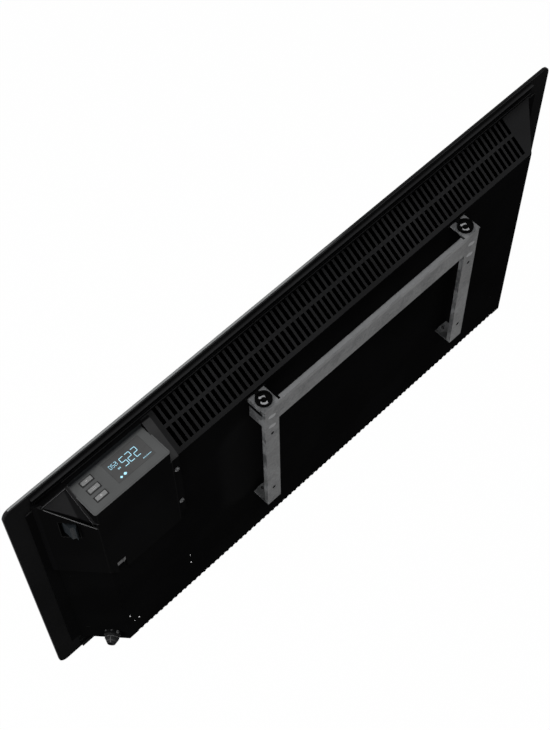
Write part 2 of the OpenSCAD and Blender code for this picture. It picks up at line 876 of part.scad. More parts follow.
// Flange that laps over the back panel and the slope beside the grille
module box_flange_sheet() {
    block([box_x0 - box_flange, box_x0 + box_t], [y_back + fit, y_back + fit + box_t],
        [cover_flange_low, z_bend]);
    on_slope()
        block([box_x0 - box_flange, box_x0 + box_t], [flange_short, slope_len], [fit, fit + box_t]);
}

// Height of the end face's top edge, which falls from the glass to the rear corner
function end_face_edge(x) = end_face_rear_top
    + (x - end_face_rear) * (end_face_top - end_face_rear_top) / (end_len - sheet_t - end_face_rear);

// Upper part of the box's end face, with a lip folded inwards along its top edge
module end_face() {
    far = 2 * end_len;
    intersection() {
        translate([0, 0, end_face_z]) linear_extrude(case_h) box_plan(0, flange_y + fit);
        on_end_wall()
            translate([0, box_end_lift, 0])
                rotate([90, 0, 0]) {
                    linear_extrude(box_t)
                        polygon([[0, end_face_z], [far, end_face_z], [far, end_face_edge(far)],
                            [0, end_face_edge(0)]]);
                    linear_extrude(box_end_lift - 2 * fit)
                        polygon([[0, end_face_edge(0) - box_t], [far, end_face_edge(far) - box_t],
                            [far, end_face_edge(far)], [0, end_face_edge(0)]]);
                }
    }
}

module end_face_trim() {
    on_end_wall()
        translate([0, box_end_lift - box_t - fit, end_face_z])
            cube([2 * end_len, box_t + 2 * fit, case_h]);
}

cover_screw_d = 3;
cover_head_d = 6;
cover_head_h = 1.8;
cover_screw_l = 7;

module cover_screws() {
    color([0.35, 0.35, 0.36])
        for (z = screw_flange_z)
            translate([cover_screw_x, y_back + fit + box_t, z]) {
                rotate([-90, 0, 0]) cylinder(d = cover_head_d, h = cover_head_h);
                rotate([90, 0, 0]) cylinder(d = cover_screw_d, h = cover_screw_l);
            }
}

// Control panel with its display and buttons

window_x = [panel_in_x0 + window_in, panel_in_x0 + window_in + window_w];
window_y = [panel_y0 + window_front, panel_y0 + window_front + window_d];
button_x = panel_x1 - button_in;
function button_y(i) = panel_y0 + button_front + i * button_pitch;
post_d = 5;
post_h = 7;
board_z = panel_z - panel_t - post_h;

module panel_plate(z0, z1) {
    r = panel_r - box_t - fit;
    translate([0, 0, z0]) linear_extrude(z1 - z0) {
        translate([panel_in_x0, panel_y0]) square([panel_in_x1 - panel_in_x0, panel_in_y1 - panel_y0 - r]);
        translate([panel_in_x0 + r, panel_in_y1 - 2 * r]) square([panel_in_x1 - panel_in_x0 - 2 * r, 2 * r]);
        for (x = [panel_in_x0 + r, panel_in_x1 - r]) translate([x, panel_in_y1 - r]) circle(r);
    }
}

// Lip of the panel over the housing's upper edge, behind the slope
module panel_lip_sheet() {
    intersection() {
        wedge_form(0, panel_z - panel_lip, panel_z);
        block([box_x0 - overrun, panel_x1 + overrun], [lip_y, y_back + case_d],
            [panel_z - 2 * panel_lip, panel_z + overrun]);
    }
}

board_in = 2;
post_in = 3.4;
board_x = [panel_in_x0 + board_in, panel_in_x1 - board_in];
board_y = [panel_y0 + board_in / 2, panel_in_y1 - board_in];
post_at = [for (x = board_x + [post_in, -post_in], y = board_y + [post_in, -post_in]) [x, y]];
pilot_d = 1.9;

module control_panel() {
    color([0.33, 0.34, 0.34])
        difference() {
            union() {
                panel_plate(panel_z - panel_t, panel_z);
                panel_lip_sheet();
                block([panel_in_x0 + fit, panel_in_x1 - fit], [panel_y0 - panel_wall, panel_y0],
                    [panel_z - panel_t, slope_z(panel_y0, fit) - box_t]);
                for (p = post_at)
                    translate([p[0], p[1], board_z]) cylinder(d = post_d, h = post_h + overrun);
            }
            block(window_x - [fit, -fit], window_y - [fit, -fit],
                [panel_z - window_t - fit, panel_z + overrun]);
            block(window_x + [window_ledge, -window_ledge], window_y + [window_ledge, -window_ledge],
                [panel_z - panel_t - overrun, panel_z + overrun]);
            for (i = [0:2])
                translate([button_x - button_w / 2 - fit, button_y(i) - button_d / 2 - fit,
                    panel_z - panel_t - overrun])
                    cube([button_w + 2 * fit, button_d + 2 * fit, panel_t + 2 * overrun]);
            for (p = post_at)
                translate([p[0], p[1], board_z - overrun]) cylinder(d = pilot_d, h = post_h);
        }
}

module display_window() {
    color([0.22, 0.23, 0.24])
        block(window_x, window_y, [panel_z - window_t, panel_z]);
}

module display_module() {
    grow = 1;
    color([0.07, 0.08, 0.09])
        block(window_x - [grow, -grow], window_y - [grow, -grow],
            [board_z, panel_z - panel_t - fit]);
}

module control_board() {
    color([0.08, 0.28, 0.14])
        difference() {
            block(board_x, board_y, [board_z - board_t, board_z]);
            for (p = post_at)
                translate([p[0], p[1], board_z - board_t - overrun])
                    cylinder(d = pilot_d + 4 * fit, h = board_t + 2 * overrun);
        }
}

board_screw_d = 1.8;
board_head_d = 4;
board_head_h = 1.4;

module board_screws() {
    color([0.7, 0.7, 0.72])
        for (p = post_at)
            translate([p[0], p[1], board_z - board_t - board_head_h]) {
                cylinder(d = board_head_d, h = board_head_h);
                cylinder(d = board_screw_d, h = board_head_h + board_t + post_h / 2);
            }
}

tact_w = 5.4;
tact_h = 3;
stem_d = 3;
button_lip = 1;
button_lip_t = 1;
button_base = panel_z - panel_t - fit - button_lip_t;

module button_switches() {
    color([0.12, 0.12, 0.12])
        for (i = [0:2])
            translate([button_x, button_y(i), board_z]) {
                translate([-tact_w / 2, -tact_w / 2, 0]) cube([tact_w, tact_w, tact_h]);
                cylinder(d = stem_d, h = button_base - button_travel - fit - board_z);
            }
}

module button(i) {
    lip = [button_w + 2 * button_lip, button_d + 2 * button_lip];
    color([0.5, 0.51, 0.51])
        translate([button_x, button_y(i), 0]) {
            translate([0, 0, button_base]) linear_extrude(button_lip_t) square(lip, center = true);
            translate([0, 0, button_base]) linear_extrude(panel_z + button_proud - button_base)
                rounded_plate(button_w, button_d, button_d / 5);
        }
}

module button_minus() button(0);

module button_mode() button(1);

module button_plus() button(2);

// Power switch in the box's end face

switch_wall = 1;
switch_depth = 17;
switch_gap = 3.3;
switch_w = rocker_w + 2 * switch_wall + 2 * fit;
switch_h = rocker_h + 2 * switch_gap + 2 * switch_wall;
switch_room = 1;
switch_ear = 1.6;
switch_set_in = 0.2;
pivot_in = 2.2;
pivot_d = 2.4;
pivot_play = 0.06;
paddle_h = 5.7;
paddle_share = [[-0.97, 1], [-0.66, 0.63], [-0.34, 1], [0.94, -0.26], [0.6, -0.88], [-0.75, -0.88]];

// Frame on the middle of the switch: x forwards along the box's end face, y out of it, z up
module on_switch() {
    on_end_wall() translate([rocker_along, box_end_lift, rocker_up]) children();
}

module switch_body() {
    half_w = switch_w / 2 - fit;
    half_h = switch_h / 2 - fit;
    ear_y = -box_t - fit;
    color([0.06, 0.06, 0.06])
        on_switch() difference() {
            union() {
                block([-half_w, half_w], [-switch_depth, -switch_set_in], [-half_h, half_h]);
                block([-half_w - switch_ear, half_w + switch_ear], [ear_y - switch_wall, ear_y],
                    [-half_h - switch_ear, half_h + switch_ear]);
            }
            block([-half_w + switch_wall, half_w - switch_wall], [-switch_depth + 2 * switch_wall, overrun],
                [-half_h + switch_wall, half_h - switch_wall]);
            translate([0, -pivot_in, -switch_h]) cylinder(d = pivot_d + 2 * pivot_play, h = 2 * switch_h);
        }
}

module switch_rocker() {
    pin_h = switch_h - 4 * fit;
    color([0.16, 0.18, 0.2])
        on_switch()
            translate([0, -pivot_in, 0]) rotate([0, 0, -rocker_swing / 2]) {
                translate([0, 0, -rocker_h / 2])
                    linear_extrude(rocker_h)
                        polygon([for (p = paddle_share) [p[0] * rocker_w / 2, p[1] * paddle_h]]);
                translate([0, 0, -pin_h / 2]) cylinder(d = pivot_d, h = pin_h);
            }
}

tab_size = [0.8, 8, 4.8];

module switch_terminals() {
    color([0.8, 0.72, 0.45])
        on_switch()
            for (z = [-1, 0, 1])
                translate([0, -switch_depth - tab_size[1] / 2, z * rocker_h / 3])
                    cube(tab_size, center = true);
}

// Cable gland through the casing's end wall

gland_inside = 12;
gland_seal_wall = 1.6;
gland_nose_wall = 1.4;
gland_cap_wall = 1.3;
gland_rib_h = 0.9;
gland_rib_w = 1.8;
gland_rib_n = 10;
gland_collar_h = 4;
gland_collar_w = 2.4;
gland_collar_n = 10;
gland_ring_h = 1.6;
gland_mouth_w = 0.6;
locknut_h = 4;
locknut_w = 2.6;
seal_d = gland_bore + 2 * gland_seal_wall;
nose_in_d = seal_d + 2 * fit;
nose_d = nose_in_d + 2 * gland_nose_wall;
cap_in_d = nose_d + 2 * fit;
cap_d = cap_in_d + 2 * gland_cap_wall;
mouth_d = gland_bore + 2 * gland_mouth_w;
nose_share = 0.62;
nose_z = gland_out * nose_share;

module on_gland() {
    on_end_wall() translate([gland_along, 0, z_low + gland_up]) rotate([-90, 0, 0]) children();
}

module gland_body() {
    color([0.09, 0.09, 0.09])
        on_gland() difference() {
            union() {
                translate([0, 0, -gland_inside]) cylinder(d = gland_d, h = gland_inside + gland_collar_h);
                cylinder(d = gland_d + 2 * gland_collar_w, h = gland_collar_h, $fn = gland_collar_n);
                cylinder(d = nose_d, h = nose_z);
            }
            translate([0, 0, -gland_inside - overrun])
                cylinder(d = nose_in_d, h = gland_out + gland_inside + 2 * overrun);
        }
}

module gland_seal() {
    color([0.05, 0.05, 0.05])
        on_gland() translate([0, 0, -gland_inside / 2]) difference() {
            cylinder(d = seal_d, h = nose_z + gland_inside / 2);
            translate([0, 0, -overrun]) cylinder(d = gland_bore, h = gland_out + gland_inside);
        }
}

module gland_cap() {
    z0 = gland_collar_h + fit;
    color([0.11, 0.11, 0.11])
        on_gland() difference() {
            union() {
                translate([0, 0, z0]) cylinder(d = cap_d + 2 * gland_rib_h, h = gland_ring_h);
                translate([0, 0, z0]) cylinder(d = cap_d, h = nose_z - z0);
                translate([0, 0, nose_z])
                    cylinder(d1 = cap_d, d2 = mouth_d + 2 * gland_mouth_w, h = gland_out - nose_z);
                for (i = [0:gland_rib_n - 1])
                    rotate(i * 360 / gland_rib_n)
                        translate([cap_d / 2 - gland_rib_h, -gland_rib_w / 2, z0])
                            cube([2 * gland_rib_h - fit, gland_rib_w, nose_z - z0 - gland_rib_h]);
            }
            translate([0, 0, z0 - overrun]) cylinder(d = cap_in_d, h = nose_z + fit - z0 + overrun);
            cylinder(d = mouth_d, h = gland_out + overrun);
        }
}

module gland_locknut() {
    color([0.09, 0.09, 0.09])
        on_gland() translate([0, 0, -sheet_t - locknut_h]) difference() {
            cylinder(d = gland_d + 2 * locknut_w, h = locknut_h, $fn = 6);
            translate([0, 0, -overrun]) cylinder(d = gland_d + 2 * fit, h = locknut_h + 2 * overrun);
        }
}

// Wall bracket: two channel legs joined by a crossbar

bracket_foot_z = bracket_top - bracket_h;
lock_y = -bracket_d / 2;
lock_slot_z = bracket_top + joint_gap + lock_h / 2;
foot_tongue_w = 8;
foot_tongue_l = 4;
foot_hole_d = 3;
leg_x = screw_dx / 2;
cheek_top_z = bracket_top - shelf_lip - cheek_slit;

// A sheet's two faces, where its outer face lies at x on the given side
function sheet_at(x, side) = [x - (side + 1) * bracket_t / 2, x + (1 - side) * bracket_t / 2];

module leg(side) {
    y0 = -bracket_d;
    half = leg_w / 2;
    translate([side * leg_x, 0, 0]) {
        difference() {
            union() {
                block([-half, half], [-bracket_t, 0], [bracket_foot_z, bracket_top]);
                for (s = [-1, 1])
                    block(sheet_at(s * half, s), [-leg_side, 0], [bracket_foot_z, bracket_top - bracket_t]);
                block(sheet_at(side * half, side), [y0, 0], [cheek_top_z - cheek_h, cheek_top_z]);
                block([-shelf_w / 2, shelf_w / 2], [y0, 0], [bracket_top - bracket_t, bracket_top]);
                block(sheet_at(side * shelf_w / 2, side), [y0, -leg_side - fit],
                    [bracket_top - shelf_lip, bracket_top]);
                block([-half, half], [y0, 0], [bracket_foot_z, bracket_foot_z + bracket_t]);
                block([-foot_tongue_w / 2, foot_tongue_w / 2], [y0 - foot_tongue_l, y0 + overrun],
                    [bracket_foot_z, bracket_foot_z + bracket_t]);
            }
            for (z = [-1, 1])
                translate([0, overrun, z * screw_dz / 2]) rotate([90, 0, 0])
                    cylinder(d = screw_hole_d, h = bracket_t + 2 * overrun);
            translate([0, y0 + foot_hole_d + bracket_t, bracket_foot_z - overrun])
                cylinder(d = foot_hole_d, h = bracket_t + 2 * overrun);
            translate([0, lock_y, bracket_top - bracket_t - overrun])
                cylinder(d = lock_shank_d + 2 * lock_play, h = bracket_t + 2 * overrun);
        }
    }
}

module wall_bracket() {
    inner = leg_x - leg_w / 2 + bracket_t;
    color([0.45, 0.46, 0.47]) {
        leg(1);
        leg(-1);
        block([-inner, inner], [-bracket_t, 0], [bracket_top - bar_h, bracket_top]);
        block([-inner + shelf_w / 4, inner - shelf_w / 4], [-bar_ledge - bracket_t, 0],
            [bracket_top - bracket_t, bracket_top]);
    }
}

// Quarter-turn lock: a spoked knob on the shelf, with a tongue through the back panel
lock_ring = 1.8;
lock_hub_d = 6;
lock_grip_w = 3;
lock_grip_turn = 38;
lock_snap_d = 9.4;
lock_snap_h = 1.6;

module twist_lock(side) {
    reach = bracket_d / 2 + joint_gap + sheet_t + lock_reach;
    color([0.05, 0.05, 0.05])
        translate([side * leg_x, lock_y, bracket_top + fit]) {
            difference() {
                cylinder(d = lock_d, h = lock_h);
                translate([0, 0, -overrun])
                    cylinder(d = lock_d - 2 * lock_ring, h = lock_h + 2 * overrun);
            }
            cylinder(d = lock_hub_d, h = lock_h);
            rotate(side * lock_grip_turn)
                translate([-lock_d / 2 + lock_ring / 2, -lock_grip_w / 2, 0])
                    cube([lock_d - lock_ring, lock_grip_w, lock_h]);
            translate([-lock_tongue_w / 2, -reach, lock_h / 4])
                cube([lock_tongue_w, reach - lock_d / 2 + lock_ring / 2, lock_h / 2]);
            translate([0, 0, -bracket_t - 2 * fit - lock_snap_h]) {
                cylinder(d = lock_shank_d, h = bracket_t + 2 * fit + lock_snap_h + lock_h / 2);
                cylinder(d = lock_snap_d, h = lock_snap_h);
            }
        }
}

module twist_lock_left() twist_lock(-1);

module twist_lock_right() twist_lock(1);

glass_front();
bond_tape();
glass_rail_top();
glass_rail_bottom();
rear_casing();
heat_shield();
shield_spacers();
heating_element();
element_bushes();
element_brackets();
thermal_cutout();
cutout_strap();
room_sensor();
power_board();
power_board_spacers();
relay();
heatsink();
terminal_block();
earth_stud();
element_leads();
control_box_cover();
cover_latch();
cover_screws();
control_panel();
display_window();
display_module();
control_board();
board_screws();
button_switches();
button_minus();
button_mode();
button_plus();
switch_body();
switch_rocker();
switch_terminals();
gland_body();
gland_seal();
gland_cap();
gland_locknut();
wall_bracket();
twist_lock_left();
twist_lock_right();
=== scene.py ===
# %% [markdown]
# # An electric panel radiator, seen from behind
#
# The radiator is a sheet of black-backed glass that carries a folded, powder-coated
# casing. A control box sits on the casing's corner, and a galvanised bracket hooks the
# whole thing to the wall. The solids come from the part's own construction, so this
# notebook is about finishes, small details, light and the camera.
#
# The solids are loaded first. They are in metres, and nothing here moves or reshapes
# them: a piece that needs a softer shape is modelled anew and stands for its solid.

# %% Load the solids
import json
import math

import bpy
from mathutils import Matrix, Vector


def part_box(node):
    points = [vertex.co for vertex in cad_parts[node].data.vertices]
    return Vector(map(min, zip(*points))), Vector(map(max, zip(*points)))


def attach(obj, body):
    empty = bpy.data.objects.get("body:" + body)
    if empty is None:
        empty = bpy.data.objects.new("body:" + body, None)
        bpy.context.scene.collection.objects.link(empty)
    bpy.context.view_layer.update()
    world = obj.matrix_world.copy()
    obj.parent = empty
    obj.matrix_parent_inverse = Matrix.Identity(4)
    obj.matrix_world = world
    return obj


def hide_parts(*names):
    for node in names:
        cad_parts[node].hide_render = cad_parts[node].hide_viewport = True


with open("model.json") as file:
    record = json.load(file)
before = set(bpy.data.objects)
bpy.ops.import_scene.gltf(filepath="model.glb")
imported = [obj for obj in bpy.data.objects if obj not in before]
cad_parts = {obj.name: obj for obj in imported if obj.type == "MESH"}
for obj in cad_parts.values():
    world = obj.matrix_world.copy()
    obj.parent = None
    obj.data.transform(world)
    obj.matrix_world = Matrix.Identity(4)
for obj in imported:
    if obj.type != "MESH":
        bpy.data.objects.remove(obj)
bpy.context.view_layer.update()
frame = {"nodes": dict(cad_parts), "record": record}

nodes = frame["nodes"]
scene = bpy.context.scene
MM = 0.001

# %% [markdown]
# ## Shader maths as plain expressions
#
# A finish is a small network of nodes. Wiring it by hand takes many lines, so one class
# wraps a node's output and gives it the usual operators: `1 - mask` adds a Math node and
# returns its output, wrapped again. A second class is the node tree itself, of a material
# or of the world, with a single method that makes any node from its type, its settings
# and its inputs. The other methods are the few steps that the finishes share.

# %% A wrapped output


class Wire:
    """An output of a node. Arithmetic on it adds Math nodes to the same finish."""

    def __init__(self, finish, socket):
        self.finish = finish
        self.socket = socket

    def math(self, operation, *values):
        return self.finish.node("ShaderNodeMath", {"operation": operation}, dict(enumerate(values)))

    def __add__(self, other):
        return self.math("ADD", self, other)

    __radd__ = __add__

    def __sub__(self, other):
        return self.math("SUBTRACT", self, other)

    def __rsub__(self, other):
        return self.math("SUBTRACT", other, self)

    def __mul__(self, other):
        return self.math("MULTIPLY", self, other)

    __rmul__ = __mul__

    def __abs__(self):
        return self.math("ABSOLUTE", self)

    def larger(self, other):
        return self.math("MAXIMUM", self, other)

    def clamp(self, low, high):
        return self.math("MINIMUM", self.larger(low), high)


print("operators ready")

# %% A finish


class Finish:
    """The node tree of a new material, or of a new world."""

    def __init__(self, name, family="materials"):
        self.owner = getattr(bpy.data, family).new(name)
        self.owner.use_nodes = True
        self.tree = self.owner.node_tree
        self.tree.nodes.clear()
        self.place = self.node("ShaderNodeTexCoord", output="Object")

    def node(self, kind, settings=None, inputs=None, output=0):
        made = self.tree.nodes.new(kind)
        for key, value in (settings or {}).items():
            setattr(made, key, value)
        for key, value in (inputs or {}).items():
            if isinstance(value, Wire):
                self.tree.links.new(value.socket, made.inputs[key])
            else:
                made.inputs[key].default_value = value
        return Wire(self, made.outputs[output])

    def noise(self, scale, detail=3, roughness=0.55, where=None):
        return self.node("ShaderNodeTexNoise", None, {
            "Vector": where or self.place, "Scale": scale,
            "Detail": detail, "Roughness": roughness})

    def spread(self, value, low, high, to_low=0.0, to_high=1.0):
        return self.node("ShaderNodeMapRange", {"interpolation_type": "SMOOTHSTEP"}, {
            "Value": value, "From Min": low, "From Max": high, "To Min": to_low, "To Max": to_high})

    def between(self, value, low, high):
        """1 between two values and 0 outside them, with edges that are soft for a millimetre."""
        return self.spread(value, low, low + MM) * self.spread(value, high - MM, high, 1, 0)

    def mix(self, amount, first, second):
        return self.node("ShaderNodeMix", {"data_type": "RGBA"},
                         {0: amount, 6: first, 7: second}, output=2)

    def bump(self, height, distance, strength=1.0):
        return self.node("ShaderNodeBump", None, {
            "Height": height, "Distance": distance, "Strength": strength})

    def axis(self, name):
        return self.node("ShaderNodeSeparateXYZ", None, {0: self.place}, output=name)

    def facing(self, name):
        """How much the surface looks along an axis: 1 straight along it, 0 across it."""
        normal = self.node("ShaderNodeNewGeometry", output="Normal")
        return self.node("ShaderNodeSeparateXYZ", None, {0: normal}, output=name)

    def vector(self, operation, inputs, output=0):
        return self.node("ShaderNodeVectorMath", {"operation": operation}, inputs, output)

    def away(self, start, end):
        """How far a point is from the straight line between two places."""
        run = Vector(end) - Vector(start)
        along = run.normalized()
        v = self.vector("SUBTRACT", {0: self.place, 1: start})
        t = self.vector("DOT_PRODUCT", {0: v, 1: along}, output=1).clamp(0, run.length)
        foot = self.vector("SCALE", {0: along, 3: t})
        return self.vector("DISTANCE", {0: v, 1: foot}, output=1)

    def line(self, start, end, reach):
        """A soft-edged line: 1 on it, 0 further away than its reach."""
        return self.spread(self.away(start, end), reach * 0.5, reach, 1, 0)

    def ray(self, kind):
        """1 for light rays of that kind, such as the camera's own, and 0 for the others."""
        return self.node("ShaderNodeLightPath", output="Is " + kind + " Ray")

    def out(self, shader, kind="ShaderNodeOutputMaterial"):
        made = self.tree.nodes.new(kind)
        self.tree.links.new(shader.socket, made.inputs["Surface"])
        return self.owner

    def finish(self, inputs):
        return self.out(self.node("ShaderNodeBsdfPrincipled", None, inputs))


print("ready to make finishes")

# %% Colours and middles


def shade(colour, factor=1.0):
    """A colour made darker or lighter, with the alpha that a socket wants."""
    return (*(min(1, c * factor) for c in colour), 1)


def grey(value):
    return (value, value, value, 1)


def halfway(low, high):
    return (low + high) / 2


print("shade", shade((0.5, 0.5, 0.5), 0.5), "grey", grey(0.5))

# %% [markdown]
# ## Powder coat
#
# The casing, the control box and the rails are sheet steel with a fine-texture black
# powder coat. A real one isn't a flat black: it has a grain of about half a millimetre
# and drifts a little in tone over a hand's breadth. Faces that look up are painted
# lighter, as painted light from above and painted sheen, with a faint dusty trace too,
# so the tone also follows the surface's upward normal; upright faces that look along X
# are painted darker, as painted shade. It has no reflection of its own here, because the
# bright floor would whiten every upright face at a low angle. Cut edges, where the coat is
# thin, show lighter, and edges and folds also carry painted highlights where a rounded
# bend would catch the light: `line` measures how far a point is from such an edge. Three
# small functions add painted light and shade in single places.

# %% Powder coat
END_SHADE_BLACK = grey(0.0005)
COAT_GRAIN = 1800
COAT_ROUGH = 0.52


def powder_coat(name, side, top, edges=(), dust=None):
    f = Finish(name)
    drift = f.noise(9, 2)
    speck = f.noise(COAT_GRAIN, 2, 0.7)
    # painted light: faces that look up take the lighter top colour, upright faces the darker side
    # colour
    level = f.spread(f.facing("Z"), 0.3, 0.75)
    low = f.mix(level, shade(side, 0.88), shade(top, 0.88))
    high = f.mix(level, shade(side, 1.12), shade(top, 1.12))
    tone = f.mix(f.spread(drift, 0.35, 0.65), low, high)
    pale = f.mix(level, shade(side, 1.8), shade(top, 1.8))
    tone = f.mix(f.spread(speck, 0.62, 0.8, 0, 0.25), tone, pale)
    # painted shade: upright faces that look along X are darkened towards black
    ends = f.spread(f.facing("X"), 0.4, 0.6) * (1 - level)
    tone = f.mix(ends * 0.6, tone, END_SHADE_BLACK)
    if dust:
        tone = dust(f, tone)
    for start, end, reach, colour in edges:
        tone = f.mix(f.line(start, end, reach), tone, shade(colour))
    rough = COAT_ROUGH + f.spread(drift, 0.3, 0.7, -0.04, 0.05)
    rough = rough + f.spread(speck, 0.3, 0.7, -0.03, 0.03)
    return f.finish({
        "Base Color": tone, "Roughness": rough, "Specular IOR Level": 0.0,
        "Normal": f.bump(speck, 0.00003, 0.5)})


print("one recipe for the coats")

# %% Painted light and shade in single places
SLOPE_FOOT = 0.126
OPENING_X = 0.3933
GLASS_SIDE_Y = -0.065


def corner_hollow(f, tone):
    """The casing through the box's corner opening: painted lighter where light falls, with a
    painted shadow of the panel's wall.
    """
    x = f.axis("X")
    y = f.axis("Y")
    inside = f.spread(x, OPENING_X - 0.0005, OPENING_X + 0.0003)
    inside = inside * f.spread(y, GLASS_SIDE_Y - 0.0005, GLASS_SIDE_Y + 0.0005)
    inside = inside * f.spread(f.axis("Z"), SLOPE_FOOT, SLOPE_FOOT + 0.004)
    # painted light on the slope inside the opening
    tone = f.mix(inside, tone, (0.0155, 0.0155, 0.016, 1))
    # painted shadow of the panel's wall: it ends along the slanting line x = 0.4096 + 0.228 y
    shadow_edge = x - 0.228 * y - 0.4096
    painted_shadow = inside * f.spread(shadow_edge, -0.0006, 0.0014, 1, 0)
    return f.mix(painted_shadow, tone, (0.0065, 0.0065, 0.0068, 1))


def shaded_strips(f, tone):
    """Painted shade on the box's slope, beside the panel's wall and along the glass."""
    beside = f.spread(f.axis("X"), 0.3897, 0.3902) * f.spread(f.axis("Z"), 0.125, 0.13)
    beside = beside * f.facing("Z")
    above = f.spread(f.axis("Y"), -0.0665, -0.0655, 1, 0)
    tone = f.mix(beside.clamp(0, 1), tone, (0.010, 0.010, 0.0103, 1))
    return f.mix(above, tone, (0.0036, 0.0036, 0.0038, 1))


def rail_tone(f, tone):
    """Painted shade: the rail's top is darkest in the corner next to the glass."""
    return f.mix(f.spread(f.axis("Y"), -0.0718, -0.0682, 0.8, 0), tone, grey(0.002))


print("three masks for dust")

# %% The three coats
CASING_BACK_Y = -0.0253
BOX_BACK_Y = -0.0234
BOX_LEFT_X = 0.2862
BOX_RIGHT_X = 0.3901
CASING_LINES = [
    # a painted reflection of the bracket beside the leg, and a painted highlight on the fold above
    # the grille
    ((0.190, CASING_BACK_Y, 0.060), (0.190, CASING_BACK_Y, -0.060),
     0.042, (0.0088, 0.0088, 0.0090)),
    ((-0.355, -0.0703, 0.1706), (0.392, -0.0703, 0.1706), 0.0014, (0.036, 0.036, 0.037))]
BOX_LINES = [
    # painted highlights on the three cut edges of the corner opening, where the coat is also thin,
    # then on the two upright folds of the box
    ((0.4250, -0.0613, 0.1663), (0.3915, -0.0244, 0.1271), 0.00048, (0.13, 0.13, 0.132)),
    ((OPENING_X, -0.0648, 0.1645), (OPENING_X, -0.0250, 0.1363), 0.0007, (0.12, 0.12, 0.122)),
    ((0.4240, -0.0649, 0.1645), (OPENING_X, -0.0649, 0.1645), 0.0006, (0.07, 0.07, 0.072)),
    ((BOX_LEFT_X, BOX_BACK_Y, 0.1530), (BOX_LEFT_X, BOX_BACK_Y, -0.0040),
     0.0012, (0.0135, 0.0135, 0.0138)),
    ((BOX_RIGHT_X, BOX_BACK_Y, 0.1240), (BOX_RIGHT_X, BOX_BACK_Y, 0.0110),
     0.0012, (0.0105, 0.0105, 0.0107))]
coat = powder_coat("powder_coat", (0.0056, 0.0056, 0.0058), (0.0134, 0.0134, 0.0138),
                   CASING_LINES, corner_hollow)
rail_coat = powder_coat("rail_powder_coat", (0.0073, 0.0073, 0.0076), (0.0145, 0.0145, 0.015),
                        dust=rail_tone)
box_coat = powder_coat("box_powder_coat", (0.0072, 0.0072, 0.0074), (0.035, 0.035, 0.0355),
                       BOX_LINES, shaded_strips)
print("powder coats made")

# %% [markdown]
# ## Black-backed glass
#
# The front is toughened glass with a black enamel fired on its back. Seen from the room
# it is a deep gloss, from behind it is the enamel, which is matt, and the ground edge is
# a pale, frosted grey. One material tells the three apart by where the surface lies: the
# Object coordinate's Y for front and back, X and Z for the edge. Along the top, the edge
# is painted dark towards -X and carries a painted highlight towards +X. The enamel behind
# the casing is painted darkest, as shade, because no light gets in there.

# %% Glass
CASING_X = (-0.333, 0.385)
CASING_Z = (-0.19, 0.165)


def backed_glass(name):
    f = Finish(name)
    low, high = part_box("glass_front")
    centre = halfway(low, high)
    half = (high - low) / 2
    x = f.axis("X")
    y = f.axis("Y")
    z = f.axis("Z")
    front = f.spread(y, high.y - 0.0036, high.y - 0.0004, 1, 0)
    rim_z = f.spread(abs(z - centre.z), half.z - 0.0009, half.z - 0.0003)
    top = f.spread(z, high.z - 0.0009, high.z - 0.0003)
    along = f.spread(x, centre.x - 0.09, centre.x + 0.02)
    ground = f.spread(y, high.y - 0.0014, high.y - 0.0008, 1, 0)
    rear = f.spread(y, high.y - 0.0007, high.y - 0.0003)
    smear = f.noise(5, 3, 0.6)
    enamel = f.mix(f.spread(smear, 0.3, 0.7),
                   (0.0105, 0.0105, 0.0108, 1), (0.0155, 0.0155, 0.016, 1))
    # painted shade: the enamel behind the casing is darkest
    covered = f.between(x, *CASING_X) * f.between(z, *CASING_Z) * rear
    enamel = f.mix(covered, enamel, grey(0.001))
    base = f.mix(rim_z * 0.3, enamel, (0.03, 0.032, 0.033, 1))
    # painted light on the top edge: dark towards -X, a painted highlight towards +X
    base = f.mix(top * (1 - along), base, grey(0.004))
    base = f.mix(top * rear, base, (0.045, 0.045, 0.046, 1))
    base = f.mix(top * along * ground, base, (0.17, 0.174, 0.174, 1))
    return f.finish({
        "Base Color": base,
        "Roughness": f.spread(front, 0, 1, 0.32, 0.06) + f.spread(smear, 0.2, 0.8, 0, 0.05),
        "Specular IOR Level": 0.0,
        "Coat Weight": 0.6 * front,
        "Coat Roughness": 0.03})


glass = backed_glass("backed_glass")
print("glass made")

# %% [markdown]
# ## Galvanised sheet
#
# The bracket is hot-dip galvanised. Zinc freezes in flat crystals, so the sheet shows
# soft patches, lighter and darker, with feathery streaks in them. Voronoi cells of about
# a centimetre, pushed about by noise, give the patches, and a stretched noise the
# feathers. Each patch also differs a little in roughness, as the crystals do. As painted
# light, the legs' outer sides are brighter than their backs, and so is the crossbar's
# folded top. The two clinched joints at the top of each leg carry painted highlights, the
# shelf is painted lighter where the turning knobs' windows show it, and the holes and a
# slit under the shelf's lip are painted shade: these marks are lines on the tone, and a
# dark one is also fully metallic, because a black metal reflects nothing.

# %% Galvanised sheet
SHADE_BLACK = (0.0025, 0.0025, 0.0025)
PAINTED_LIGHT = (0.3, 0.304, 0.31)
ZINC_METAL = 0.3
ZINC_ROUGH = 0.5


